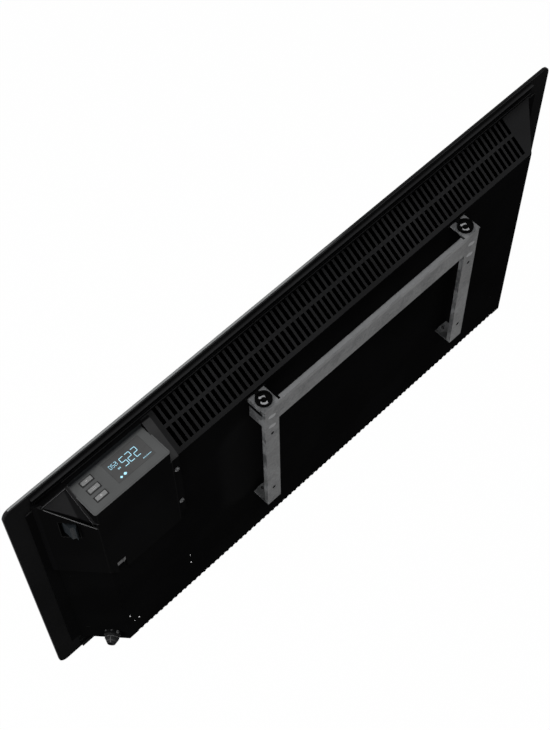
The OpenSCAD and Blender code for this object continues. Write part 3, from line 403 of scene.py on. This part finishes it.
def galvanised(name, dark, light, marks):
    f = Finish(name)
    warp = f.node("ShaderNodeTexNoise", None,
                  {"Vector": f.place, "Scale": 60, "Detail": 2}, output=1)
    pushed = f.node("ShaderNodeMix", {"data_type": "VECTOR"},
                    {0: 0.018, 4: f.place, 5: warp}, output=1)
    cells = f.node("ShaderNodeTexVoronoi", None,
                   {"Vector": pushed, "Scale": 95, "Randomness": 1.0}, output=1)
    patch = f.node("ShaderNodeSeparateColor", None, {0: cells})
    stretch = f.node("ShaderNodeMapping", None, {
        "Vector": pushed, "Rotation": (0.3, 0.5, 0.8), "Scale": (1, 3.2, 0.8)})
    feather = f.noise(210, 4, 0.65, stretch)
    cloud = f.noise(28, 3)
    level = 0.45 * patch + 0.35 * f.spread(feather, 0.3, 0.7) + 0.3 * f.spread(cloud, 0.35, 0.65)
    patches = f.spread(level, 0.15, 0.95)
    # painted light: faces that look along X, such as the legs' outer sides, are lighter
    ends = f.spread(f.facing("X"), 0.4, 0.8)
    back = f.mix(patches, shade(dark), shade(light))
    tone = f.mix(ends, back, f.mix(patches, shade(dark, 1.6), shade(light, 1.6)))
    scratch = f.noise(900, 2, 0.6, stretch)
    painted_dark = 0.0
    # each mark is painted light or painted shade; the painted shade is also fully metallic
    for start, end, reach, colour, depth in marks:
        mark = f.line(start, end, reach)
        tone = f.mix(mark * depth, tone, shade(colour))
        if colour == SHADE_BLACK:
            painted_dark = mark + painted_dark
    rough = ZINC_ROUGH + f.spread(patch, 0, 1, -0.07, 0.07)
    rough = rough + f.spread(scratch, 0.3, 0.7, -0.03, 0.03)
    return f.finish({
        "Base Color": tone,
        "Metallic": ZINC_METAL + (1 - ZINC_METAL) * painted_dark,
        "Roughness": rough,
        "Normal": f.bump(feather + 0.5 * scratch, 0.00004, 0.4)})


print("zinc recipe ready")

# %% Marks on the bracket
LEG_X = 0.163
CHEEK_X = 0.1735
KNOB_R = 9.75 * MM
# painted light: the crossbar's folded top, which faces up, is lighter
CROSSBAR_TOP = ((-0.152, 0, 0.1255), (0.152, 0, 0.1255), 0.0070, (0.16, 0.162, 0.165), 0.75)


def leg_marks(hand, lock):
    """Painted marks of one leg: shade in two wall holes, foot hole and slit, light on the knob's
    track, highlights on two clinched joints.
    """
    leg = hand * LEG_X
    cheek = hand * CHEEK_X
    low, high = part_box(lock)
    pivot = (halfway(low.x, high.x), high.y - KNOB_R)
    # painted shade: two wall holes, then the foot hole and the slit under the shelf's lip
    made = [((leg, -0.02, z), (leg, 0.01, z), 0.0034, SHADE_BLACK, 1) for z in (0.068, -0.068)]
    made.append(((leg, -0.0214, -0.11), (leg, -0.0214, -0.09), 0.0024, SHADE_BLACK, 1))
    made.append(((cheek, -0.0239, 0.1141), (cheek, -0.0069, 0.1141), 0.0040, SHADE_BLACK, 1))
    # painted light on the shelf under the knob, where its windows show it
    made.append(((*pivot, 0.1270), (*pivot, 0.1280), 0.0090, PAINTED_LIGHT, 1))
    # painted highlights on the two clinched joints
    for z in (0.1065, 0.0847):
        low_end = (leg - 0.0025, 0, z - 0.001)
        high_end = (leg + 0.0025, 0, z + 0.001)
        made.append((low_end, high_end, 0.0040, PAINTED_LIGHT, 0.85))
    return made


MARKS = [CROSSBAR_TOP] + leg_marks(-1, "twist_lock_left") + leg_marks(1, "twist_lock_right")
zinc = galvanised("galvanised_sheet", (0.030, 0.031, 0.032), (0.124, 0.126, 0.128), MARKS)
print("galvanised sheet made")

# %% [markdown]
# ## Plastics
#
# Panel, keys, window, rocker, gland and knobs are mouldings. A moulding's skin is spark
# eroded: a fine, even grain that is deeper on matt parts. The colour hardly varies, but
# the sheen does where fingers polish it, so the broad noise goes to the roughness.

# %% Plastics


def moulding(name, colour, gloss=0.45, specular=0.3, grain=2600, depth=0.00002, wear=0.08,
             marks=None):
    f = Finish(name)
    broad = f.noise(35, 3)
    fine = f.noise(grain, 2, 0.6)
    tone = f.mix(f.spread(broad, 0.3, 0.7), shade(colour, 0.95), shade(colour, 1.05))
    tone = f.mix(f.spread(fine, 0.55, 0.8, 0, wear), tone, shade(colour, 1.8))
    if marks:
        tone = marks(f, tone)
    return f.finish({
        "Base Color": tone,
        "Roughness": gloss + f.spread(broad, 0.3, 0.7, -0.05, 0.05),
        "Specular IOR Level": specular,
        "Normal": f.bump(fine, depth, 0.5)})


print("moulding recipe ready")

# %% Marks of panel and gland


def beyond(f, box, inset=0.0):
    """How far a point is outside a box's outline, seen from above, and minus that inside."""
    low, high = box
    out_x = abs(f.axis("X") - halfway(low.x, high.x)) - ((high.x - low.x) / 2 - inset)
    out_y = abs(f.axis("Y") - halfway(low.y, high.y)) - ((high.y - low.y) / 2 - inset)
    return out_x.larger(out_y)


def panel_marks(f, tone):
    """Painted shade: a groove line inside the outline, a shadow on the upstand, and the seam round
    each key.
    """
    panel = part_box("control_panel")
    level = f.spread(f.facing("Z"), 0.7, 0.9)
    # painted shade of a groove inside the outline
    rim = abs(beyond(f, panel, 0.0016))
    tone = f.mix(f.spread(rim, 0.0001, 0.00035, 0.55, 0) * level, tone, (0.03, 0.031, 0.031, 1))
    # painted shadow on the upstand along the panel's front edge
    upstand = f.spread(f.axis("Y"), panel[0].y + 0.0012, panel[0].y + 0.0062, 1, 0)
    tone = f.mix(upstand, tone, (0.018, 0.0195, 0.021, 1))
    # painted shade in the seam round each key
    for key in ("button_minus", "button_mode", "button_plus"):
        seam = f.spread(beyond(f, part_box(key)), 0.00035, 0.0006, 0.9, 0)
        tone = f.mix(seam, tone, grey(0.018))
    return tone


def gland_marks(f, tone):
    """Painted highlights of the gland: glints on the collar's corners, the cap's rim and tip, and
    one rib.
    """
    along = 0.748 * f.axis("X") + 0.663 * f.axis("Y")
    # painted highlights round the cap's rim and tip
    for place, pale in ((0.28065, 0.10), (0.2855, 0.05)):
        tone = f.mix(f.spread(abs(along - place), 0.0003, 0.0008, 0.85, 0), tone, grey(pale))
    spots = [
        ((0.4077, -0.0348, -0.1759), (0.4118, -0.0306, -0.1788), 0.0008, 0.08),
        ((0.4057, -0.0457, -0.1774), (0.4061, -0.0453, -0.1774), 0.0016, 0.07),
        ((0.4013, -0.0397, -0.1740), (0.4017, -0.0393, -0.1740), 0.0014, 0.05),
        ((0.3970, -0.0339, -0.1766), (0.3978, -0.0331, -0.1766), 0.0020, 0.12)]
    for start, end, reach, pale in spots:
        tone = f.mix(f.line(start, end, reach), tone, grey(pale))
    return tone


print("marks ready")

# %% The mouldings
panel_grey = moulding("panel_grey", (0.0705, 0.0722, 0.0722), 0.5, 0.06, marks=panel_marks)
window_grey = moulding("window_smoke", (0.059, 0.059, 0.059), 0.3, 0.06, 4000, 0.000004, 0.02)
key_grey = moulding("key_grey", (0.165, 0.166, 0.166), 0.5, 0.15, 1500, 0.00003, 0.15)
black_moulding = moulding("black_moulding", (0.002, 0.002, 0.002), 0.4, 0.004, 1500, 0.00004)
slate = moulding("slate_moulding", (0.0120, 0.0145, 0.0165), 0.4, 0.04, 2500, 0.00001)
gland_black = moulding("gland_black", (0.0062, 0.0062, 0.0064), 0.4, 0.01, 1800, marks=gland_marks)
cap_black = moulding("gland_cap_black", (0.018, 0.018, 0.0185), 0.4, 0.01, 1800, marks=gland_marks)
cream = moulding("cream_insulator", (0.7, 0.66, 0.56), 0.6, 0.3, 700, 0.00005, 0.2)
red_silicone = moulding("red_silicone", (0.42, 0.035, 0.025), 0.55, 0.3, 900, 0.00003)
seal_rubber = moulding("seal_rubber", (0.012, 0.012, 0.012), 0.7, 0.2, 1200, 0.00004)
foam = moulding("foam_tape", (0.03, 0.03, 0.03), 0.9, 0.1, 1600, 0.00015, 0.3)
print("mouldings made")

# %% [markdown]
# ## Metals inside the casing
#
# Fins and shield, with the brackets and spacers that hold them, are painted near black,
# as painted shade for the casing's dark inside seen through the grille. Screws and strap
# are zinc-plated steel, the earth stud and the switch's terminals brass, and the heatsink
# is plain aluminium. Rolling leaves fine lines one way.
# A noise that is stretched up to a hundred times gives them, in both the tone and the
# roughness, and on small turned pieces it isn't stretched at all.

# %% Drawn and plated metals


def rolled(name, colour, gloss=0.35, lines=(2, 200, 200)):
    f = Finish(name)
    along = f.node("ShaderNodeMapping", None, {"Vector": f.place, "Scale": lines})
    line = f.noise(12, 3, 0.6, along)
    blotch = f.noise(40, 3)
    tone = f.mix(f.spread(line, 0.3, 0.7), shade(colour, 0.85), shade(colour, 1.08))
    tone = f.mix(f.spread(blotch, 0.6, 0.8, 0, 0.1), tone, shade(colour, 0.5))
    rough = gloss + f.spread(line, 0.3, 0.7, -0.06, 0.06) + f.spread(blotch, 0.3, 0.7, 0, 0.05)
    return f.finish({
        "Base Color": tone, "Metallic": 1.0, "Roughness": rough,
        "Normal": f.bump(line, 0.00002, 0.3)})


aluminium = rolled("mill_aluminium", (0.5, 0.505, 0.51))
# painted shade: the parts inside the casing are near black
shade_dark_metal = rolled("shade_dark_aluminium", (0.02, 0.02, 0.021), 0.5)
plated = rolled("plated_steel", (0.42, 0.425, 0.43), 0.28, (60, 60, 60))
latch_steel = rolled("latch_steel", (0.022, 0.0225, 0.023), 0.4, (20, 600, 600))
brass = rolled("brass", (0.55, 0.42, 0.2), 0.3, (80, 80, 80))
print("metals made")

# %% [markdown]
# ## Circuit board
#
# Solder resist over copper: a deep green, lighter where tracks run under it. The tracks
# are suggested by a checked pattern that noise breaks up, low in contrast.

# %% Circuit board


def circuit_board(name):
    f = Finish(name)
    track = f.node("ShaderNodeTexBrick", {"offset": 0.5}, {
        "Vector": f.place, "Color1": grey(0), "Color2": grey(1), "Mortar": grey(0.4),
        "Scale": 260, "Mortar Size": 0.03})
    where = f.spread(f.noise(90, 2), 0.45, 0.55)
    tone = f.mix(where, (0.012, 0.06, 0.025, 1), (0.02, 0.1, 0.045, 1))
    tone = f.mix(0.25, tone, f.mix(track, (0.01, 0.05, 0.02, 1), (0.03, 0.13, 0.06, 1)))
    return f.finish({
        "Base Color": tone, "Roughness": 0.35 + 0.15 * where, "Specular IOR Level": 0.4})


board_green = circuit_board("circuit_board")
print("board made")

# %% [markdown]
# ## Which solid takes which finish
#
# The record's material slots name the finishes, so the table below goes from slot to
# material, and a few solids that share a slot but differ on the real object are set by
# their own name.

# %% Finishes onto the solids
BY_SLOT = {
    "black_glass": glass,
    "foam_tape": foam,
    "black_sheet": coat,
    "bright_aluminium": aluminium,
    "plated_steel": plated,
    "cream_insulator": cream,
    "black_plastic": black_moulding,
    "green_board": board_green,
    "brass_parts": brass,
    "red_silicone": red_silicone,
    "grey_plastic": panel_grey,
    "smoked_window": window_grey,
    "light_grey_plastic": key_grey,
    "slate_plastic": slate,
    "black_rubber": seal_rubber,
    "galvanised_sheet": zinc,
}
BY_NODE = {
    "control_box_cover": box_coat,
    "cover_latch": latch_steel,
    "gland_body": gland_black,
    "gland_cap": cap_black,
    "glass_rail_top": rail_coat,
    "heat_shield": shade_dark_metal,
    "heating_element": shade_dark_metal,
    "element_brackets": shade_dark_metal,
    "shield_spacers": shade_dark_metal,
}
for row in frame["record"]["subparts"]:
    name = row["node"]
    made = BY_NODE.get(name) or BY_SLOT[row["material_slot"]]
    mesh = nodes[name].data
    mesh.materials.clear()
    mesh.materials.append(made)
print("finishes on", len(nodes), "solids")

# %% [markdown]
# ## Modelling helpers
#
# New pieces start from a primitive and are shaped in edit mode. Operators act on whatever
# is selected and active, so `activate` makes one piece both. `pick` selects faces or edges
# by a test on their place and direction, `soften` bevels such edges, `cut` takes shapes
# out of a piece with boolean modifiers, and `settle` puts a piece's place into its mesh.
# `done` smooths a piece and gives it a finish, a body and the solids it stands for.

# %% Selecting


def clear():
    if bpy.context.object and bpy.context.object.mode == "EDIT":
        bpy.ops.object.mode_set(mode="OBJECT")
    bpy.ops.object.select_all(action="DESELECT")


def active():
    return bpy.context.view_layer.objects.active


def activate(piece):
    clear()
    piece.select_set(True)
    bpy.context.view_layer.objects.active = piece


def pick(kind, test):
    """In edit mode: selects only the faces or edges whose middle and direction pass a test."""
    piece = active()
    bpy.ops.mesh.select_mode(type="FACE" if kind == "faces" else "EDGE")
    bpy.ops.mesh.select_all(action="DESELECT")
    bpy.ops.object.mode_set(mode="OBJECT")
    mesh = piece.data
    if kind == "faces":
        for face in mesh.polygons:
            face.select = test(face.center, face.normal)
    else:
        for edge in mesh.edges:
            a, b = (mesh.vertices[i].co for i in edge.vertices)
            edge.select = test((a + b) / 2, b - a)
    bpy.ops.object.mode_set(mode="EDIT")


print("selecting ready")

# %% Shaping


def soften(test, offset, segments):
    """Bevels the edges of the active piece that pass a test."""
    bpy.ops.object.mode_set(mode="EDIT")
    pick("edges", test)
    bpy.ops.mesh.bevel(offset=offset, segments=segments, affect="EDGES")
    bpy.ops.object.mode_set(mode="OBJECT")


def cut(piece, cutters):
    """Takes shapes out of a piece, one after the other, and removes them."""
    for cutter in cutters:
        activate(piece)
        made = piece.modifiers.new("cut", "BOOLEAN")
        made.operation = "DIFFERENCE"
        made.object = cutter
        made.solver = "EXACT"
        bpy.ops.object.modifier_apply(modifier=made.name)
        bpy.data.objects.remove(cutter)
    return piece


def settle(piece, matrix=None):
    """Puts the piece's place into its mesh, and its object at the origin."""
    bpy.context.view_layer.update()
    world = (matrix or Matrix.Identity(4)) @ piece.matrix_world
    piece.data.transform(world)
    piece.matrix_world = Matrix.Identity(4)
    return piece


print("shaping ready")

# %% Plain forms


def cylinder(radius, low, high, sides):
    """An upright cylinder round the Z axis, from one height to another."""
    clear()
    bpy.ops.mesh.primitive_cylinder_add(
        vertices=sides, radius=radius, depth=high - low, location=(0, 0, halfway(low, high)))
    return settle(active())


def block(size, turn=0.0, place=(0, 0, 0)):
    """A plain block, turned about Z, with its place already in its mesh."""
    clear()
    bpy.ops.mesh.primitive_cube_add(size=1)
    made = active()
    made.scale = size
    made.rotation_euler = (0, 0, turn)
    made.location = place
    return settle(made)


def prism(outline, low, high):
    """A block with any outline in mm, filled and extruded."""
    clear()
    bpy.ops.mesh.primitive_circle_add(vertices=len(outline), radius=MM, fill_type="NGON")
    made = settle(active())
    for corner, (x, y) in zip(made.data.vertices, outline):
        corner.co = (x * MM, y * MM, low)
    bpy.ops.object.mode_set(mode="EDIT")
    bpy.ops.mesh.select_all(action="SELECT")
    bpy.ops.mesh.extrude_region_move(TRANSFORM_OT_translate={"value": (0, 0, high - low)})
    bpy.ops.mesh.select_all(action="SELECT")
    bpy.ops.mesh.normals_make_consistent(inside=False)
    bpy.ops.object.mode_set(mode="OBJECT")
    return made


print("forms ready")

# %% Joining and the last step
SMOOTH_ANGLE = math.radians(30)


def join(pieces, name):
    activate(pieces[0])
    if len(pieces) > 1:
        for piece in pieces:
            piece.select_set(True)
        bpy.ops.object.join()
    made = active()
    made.name = name
    made.data.name = name
    return made


def done(piece, body, finish, replaces=()):
    activate(piece)
    bpy.ops.object.shade_smooth_by_angle(angle=SMOOTH_ANGLE)
    piece.data.materials.clear()
    piece.data.materials.append(finish)
    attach(piece, body)
    for node in replaces:
        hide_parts(node)
    print(piece.name, len(piece.data.polygons), "faces")


print("joining ready")

# %% [markdown]
# ## Screw heads
#
# Two pan-head screws hold the control box to the casing. A pan head is a low cylinder
# whose top edge is well rounded, with a cross recess for the driver. The head starts as
# a cylinder, bevelled at the top, and the recess is cut by two thin bars, the way that a
# punch would sink it. The shank goes on behind, so that the piece stands for its solid.
# The cross is deep in shade, so the screws get a finish of their own with painted shade there.

# %% Steel of the screws
screw_low, screw_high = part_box("cover_screws")
HEAD_R = 3.0 * MM
HEAD_TALL = 1.8 * MM
CROSS = (5.2 * MM, 0.9 * MM, 1.4 * MM)


def screw_steel(name, heads):
    """Zinc-plated steel with painted shade along both bars of each head's cross."""
    f = Finish(name)
    tone = f.spread(f.noise(420, 3), 0.35, 0.65)
    tone = f.mix(tone, (0.075, 0.076, 0.078, 1), (0.2, 0.203, 0.208, 1))
    arm = 0.7 * CROSS[0] / 2
    for x, z in heads:
        for slant in (arm, -arm):
            a = (x - arm, screw_high.y, z - slant)
            b = (x + arm, screw_high.y, z + slant)
            # painted shade in the cross recess
            tone = f.mix(f.line(a, b, CROSS[1]), tone, grey(0.004))
    return f.finish({"Base Color": tone, "Metallic": 0.6, "Roughness": 0.35 + 0.1 * f.noise(300)})


screw_x = halfway(screw_low.x, screw_high.x)
screw_places = [(screw_x, screw_high.z - HEAD_R), (screw_x, screw_low.z + HEAD_R)]
steel = screw_steel("screw_steel", screw_places)
print("screws at", [(round(x, 4), round(z, 4)) for x, z in screw_places])

# %% Screw heads


def pan_head():
    """A head that stands on the origin, with the cross sunk into its top."""
    cross = [block(CROSS, math.radians(turn), (0, 0, HEAD_TALL)) for turn in (45, 135)]
    head = cylinder(HEAD_R, 0, HEAD_TALL, 32)
    soften(lambda spot, run: spot.z > HEAD_TALL - 0.01 * MM, 0.9 * MM, 4)
    return cut(head, cross)


def shank(radius, low, high, sides, ends, bevel):
    """A round shank, bevelled at the ends that are named by their heights."""
    made = cylinder(radius, low, high, sides)
    soften(lambda spot, run: min(abs(spot.z - end) for end in ends) < 0.01 * MM, bevel, 2)
    return made


def screw(x, z):
    tip = -6.9 * MM
    pieces = [pan_head(), shank(1.5 * MM, tip, 0.1 * MM, 20, [tip], 0.7 * MM)]
    flat = Matrix.Rotation(-math.pi / 2, 4, "X")
    place = Matrix.Translation((x, screw_high.y - HEAD_TALL, z))
    return settle(join(pieces, "screw"), place @ flat)


screws = join([screw(x, z) for x, z in screw_places], "screw_heads")
done(screws, "heater", steel, ["cover_screws"])

# %% [markdown]
# ## Lock knobs
#
# A knob sits on each bracket leg and locks the casing. From above it is a black ring with
# a sunk floor, in which two windows show the bright bracket below. The ring starts as a
# cylinder, its top face inset and pushed down for the sunk floor, and two prisms with the
# windows' outlines cut through it. A tongue reaches into the casing, and a shank snaps
# under the shelf. Both knobs are the same moulding, so one function models each of them.

# %% Parts of a knob
KNOB_TALL = 4 * MM
KNOB_RIM = 1.7 * MM
KNOB_FLOOR = 1.1 * MM
TONGUE_START = -8.6 * MM
WINDOWS = [
    [(4.2, -1.0), (-1.9, 2.9), (-0.4, 7.7), (4.6, 7.3), (7.4, 3.4)],
    [(1.7, -6.2), (-4.1, -4.0), (-4.1, -0.7), (-2.6, -0.4), (3.2, -3.0), (3.6, -5.0)]]


def knob_ring():
    ring = cylinder(KNOB_R, 0, KNOB_TALL, 56)
    bpy.ops.object.mode_set(mode="EDIT")
    pick("faces", lambda spot, normal: normal.z > 0.9)
    bpy.ops.mesh.inset(thickness=KNOB_RIM, depth=0)
    sink = (0, 0, KNOB_FLOOR - KNOB_TALL)
    bpy.ops.mesh.extrude_region_move(TRANSFORM_OT_translate={"value": sink})
    bpy.ops.object.mode_set(mode="OBJECT")
    rim = KNOB_R - KNOB_RIM - 0.25 * MM
    soften(lambda spot, run: spot.z > KNOB_TALL - 0.01 * MM and spot.xy.length > rim, 0.35 * MM, 2)
    return cut(ring, [prism(outline, -1 * MM, 6 * MM) for outline in WINDOWS])


def knob_tongue(end):
    """The bar from the ring into the casing, whose tip is at end along Y."""
    size = (6 * MM, TONGUE_START - end, 2 * MM)
    tongue = block(size, 0, (0, halfway(end, TONGUE_START), 2 * MM))
    soften(lambda spot, run: True, 0.3 * MM, 2)
    return tongue


print("knob parts ready")

# %% Lock knobs
KNOB_SHANK = (-3.2 * MM, 2.4 * MM)


def knob(name, node, body):
    low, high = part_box(node)
    x = halfway(low.x, high.x)
    y = high.y - KNOB_R
    pieces = [knob_ring(), shank(1.6 * MM, *KNOB_SHANK, 32, KNOB_SHANK, 0.4 * MM),
              knob_tongue(low.y - y)]
    made = settle(join(pieces, name), Matrix.Translation((x, y, high.z - KNOB_TALL)))
    done(made, body, black_moulding, [node])


for hand in ("left", "right"):
    knob("knob_" + hand, "twist_lock_" + hand, hand + "_lock")

# %% [markdown]
# ## The lit display
#
# Behind the smoked window a segment display glows pale blue. Real segments are flat bars
# with pointed ends, so one function makes such a bar, a block whose ends are bevelled to
# points, and everything on the window is built from those. It is read from the room, so
# the digits' tops point to the wall. Next to the large digits are a small clock, three
# short bars, two round marks and a row of ticks.

# %% Display segments
window_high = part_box("display_window")[1]
GLOW_LIFT = 0.06 * MM
GLOW_DEEP = 0.12 * MM
UPRIGHT = math.pi / 2


def glow_finish(name, colour, strength):
    f = Finish(name)
    flicker = f.spread(f.noise(1200, 1), 0.3, 0.7, 0.92, 1)
    tone = f.mix(flicker, shade(colour, 0.85), shade(colour))
    return f.finish({"Base Color": shade(colour, 0.3), "Roughness": 0.5,
                     "Emission Color": tone, "Emission Strength": strength})


def bar(x, y, length, width, turn=0.0):
    """A flat bar with pointed ends on the window, its middle at x, y, along X unless turned."""
    piece = block((length, width, GLOW_DEEP))
    soften(lambda spot, run: abs(run.z) > abs(run.x) + abs(run.y), width * 0.42, 1)
    place = Matrix.Translation((x, y, window_high.z + GLOW_LIFT)) @ Matrix.Rotation(turn, 4, "Z")
    return settle(piece, place)


glow = glow_finish("display_glow", (0.42, 0.78, 0.95), 0.95)
print("one bar ready, window top at", round(window_high.z, 5))

# %% Digits and small marks
# Lit segments: a top, b and c right sides, d bottom, e and f left sides, g middle
LIT = {"0": "abcdef", "1": "bc", "2": "abged", "5": "afgcd"}
CLOCK_Y = -54.0 * MM


def digit(glyph, x, y, wide, tall, stroke):
    """A digit with its middle at x, y. Its right is +X and its top +Y, as read from the room."""
    half = tall / 2
    gap = stroke * 0.35
    spans = {
        "a": (0, half, 1), "g": (0, 0, 1), "d": (0, -half, 1),
        "f": (-wide / 2, half / 2, 0), "b": (wide / 2, half / 2, 0),
        "e": (-wide / 2, -half / 2, 0), "c": (wide / 2, -half / 2, 0)}
    made = []
    for key in LIT[glyph]:
        dx, dy, level = spans[key]
        length = (wide if level else half) - gap
        made.append(bar(x + dx, y + dy, length, stroke, 0 if level else UPRIGHT))
    return made


bars = []
for glyph, x in (("2", 311.7), ("2", 319.8), ("5", 327.6)):
    bars += digit(glyph, x * MM, -49.8 * MM, 5.5 * MM, 11.2 * MM, 0.62 * MM)
for glyph, x in (("1", 333.2), ("2", 336.0), ("5", 339.4), ("0", 342.8)):
    bars += digit(glyph, x * MM, CLOCK_Y, 2.2 * MM, 4.6 * MM, 0.32 * MM)
for dy in (-1.1, 1.1):
    bars.append(bar(341.1 * MM, CLOCK_Y + dy * MM, 0.45 * MM, 0.45 * MM))
for dx in (-1.2, 0, 1.2):
    bars.append(bar((336.1 + dx) * MM, -47.2 * MM, 2.2 * MM, 0.5 * MM, UPRIGHT))
ROUND_MARKS = [(335.8, -38.3, (1.6, 2.9, 3.4, 2.9, 1.6)), (341.3, -37.9, (0.7, 1.9, 3.1, 1.9, 0.7))]
for x, y, lengths in ROUND_MARKS:
    for dx, tall in zip((-1.4, -0.7, 0, 0.7, 1.4), lengths):
        bars.append(bar((x + dx) * MM, y * MM, tall * MM, 0.8 * MM, UPRIGHT))
for step in range(10):
    tall = 1.0 + 0.5 * (step % 2)
    bars.append(bar((300.4 + 1.14 * step) * MM, -38.2 * MM, tall * MM, 0.42 * MM, UPRIGHT))
done(join(bars, "display_digits"), "heater", glow)

# %% [markdown]
# ## Marks on the keys
#
# Each key has a small pale mark printed in its middle: a bar, a grid of six dots, and a
# cross. They are the same thin bars as the display's, a little above the key's top, and
# each rides with its own key.

# %% Key marks
mark_paint = moulding("mark_paint", (0.42, 0.42, 0.415), 0.55, 0.05, 3000, 0.000005, 0.05)
MARK_SUNK = 0.01 * MM


def key_mark(name, node, body, strokes):
    """Strokes in mm from the key's middle. Each is a bar, moved from the window to the key."""
    low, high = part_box(node)
    x = halfway(low.x, high.x)
    y = halfway(low.y, high.y)
    to_key = Matrix.Translation((0, 0, high.z - window_high.z - (GLOW_LIFT + MARK_SUNK)))
    made = []
    for dx, dy, long, wide, turn in strokes:
        piece = bar(x + dx * MM, y + dy * MM, long * MM, wide * MM, turn)
        made.append(settle(piece, to_key))
    done(join(made, name), body, mark_paint)


key_mark("mark_minus", "button_minus", "minus_key", [(0, 0, 2.4, 0.6, 0)])
key_mark("mark_mode", "button_mode", "mode_key",
         [(dx, dy, 0.7, 0.7, 0) for dx in (-1.5, 0, 1.5) for dy in (-0.9, 0.9)])
key_mark("mark_plus", "button_plus", "plus_key", [(0, 0, 2.6, 0.8, 0), (0, 0, 2.6, 0.8, UPRIGHT)])

# %% [markdown]
# ## Camera
#
# The photograph looks down on the radiator's back from behind its right shoulder. The
# camera's place and lens were found by fitting the straight edges of glass, casing and
# grille, and later of box, bracket and gland too, so the render can be laid over the
# photograph.

# %% Camera
SENSOR = 36
FOCAL_PIXELS = 1466.84
PHOTO_PIXELS = 730
camera_data = bpy.data.cameras.new("camera")
camera = bpy.data.objects.new("camera", camera_data)
scene.collection.objects.link(camera)
right = Vector((-0.713761357, 0.70026991, -0.01291423))
up = Vector((-0.606514159, -0.60876795, 0.511411927))
back = Vector((0.350264615, 0.372858734, 0.859238654))
stand = Matrix((right, up, back)).transposed().to_4x4()
stand.translation = Vector((0.687099, 0.564638, 1.509367))
camera.matrix_world = stand
camera_data.sensor_width = SENSOR
camera_data.lens = SENSOR * FOCAL_PIXELS / PHOTO_PIXELS
camera_data.clip_start = 0.05
camera_data.clip_end = 60
scene.camera = camera
print("camera at", [round(v, 3) for v in camera.location], "lens", round(camera_data.lens, 2))

# %% [markdown]
# ## Floor, world and lamps
#
# The backdrop is plain white. Camera rays see a white world and a pale floor, while the
# light that falls on the radiator comes from a wide soft lamp above, a weaker one beside
# it, one in front and a dim surrounding. Mirror-like rays see three quarters of the white
# in every direction and no lamps, so that metal and glass reflect an even, bright room.

# %% Floor
MIRRORED = 0.75
FLOOR_SEEN = 0.985
clear()
bpy.ops.mesh.primitive_plane_add(size=30, location=(0, 0, -1.1))
floor = active()
floor.name = "floor"
ground = Finish("floor")
bright = ground.node("ShaderNodeEmission", None, {"Color": grey(1), "Strength": 1.0})
grain = ground.mix(ground.spread(ground.noise(3, 2), 0.3, 0.7), grey(0.84), grey(0.88))
matt = ground.node("ShaderNodeBsdfDiffuse", None, {"Color": grain})
floor_share = (ground.ray("Camera") * FLOOR_SEEN).larger(ground.ray("Glossy") * MIRRORED)
both = ground.node("ShaderNodeMixShader", None, {0: floor_share, 1: matt, 2: bright})
floor.data.materials.append(ground.out(both))
print("pale floor")

# %% World
sky = Finish("studio", "worlds")
dim = sky.node("ShaderNodeBackground", None, {"Color": grey(1), "Strength": 0.05})
white = sky.node("ShaderNodeBackground", None, {"Color": grey(1), "Strength": 1.0})
sky_share = sky.ray("Camera").larger(sky.ray("Glossy") * MIRRORED)
sky_share = sky_share.larger(sky.ray("Transmission"))
around = sky.node("ShaderNodeMixShader", None, {0: sky_share, 1: dim, 2: white})
scene.world = sky.out(around, "ShaderNodeOutputWorld")
print("white backdrop, dim surrounding")

# %% Lamps


def lamp(name, place, aim, size, power):
    data = bpy.data.lights.new(name, "AREA")
    data.shape = "DISK"
    data.size = size
    data.energy = power
    made = bpy.data.objects.new(name, data)
    scene.collection.objects.link(made)
    made.location = place
    made.rotation_mode = "QUATERNION"
    made.rotation_quaternion = (Vector(aim) - Vector(place)).to_track_quat("-Z", "Y")
    made.visible_glossy = False


lamp("lamp_above", (0.2, 0.1, 3.0), (0.05, -0.05, 0), 2.4, 100)
lamp("lamp_side", (2.6, 0.0, 0.5), (0.05, -0.02, 0), 1.2, 46)
lamp("lamp_front", (-1.4, -3.0, 1.6), (0.05, 0, 0), 2.0, 22)
scene.view_settings.view_transform = "Standard"
print("lamps placed")
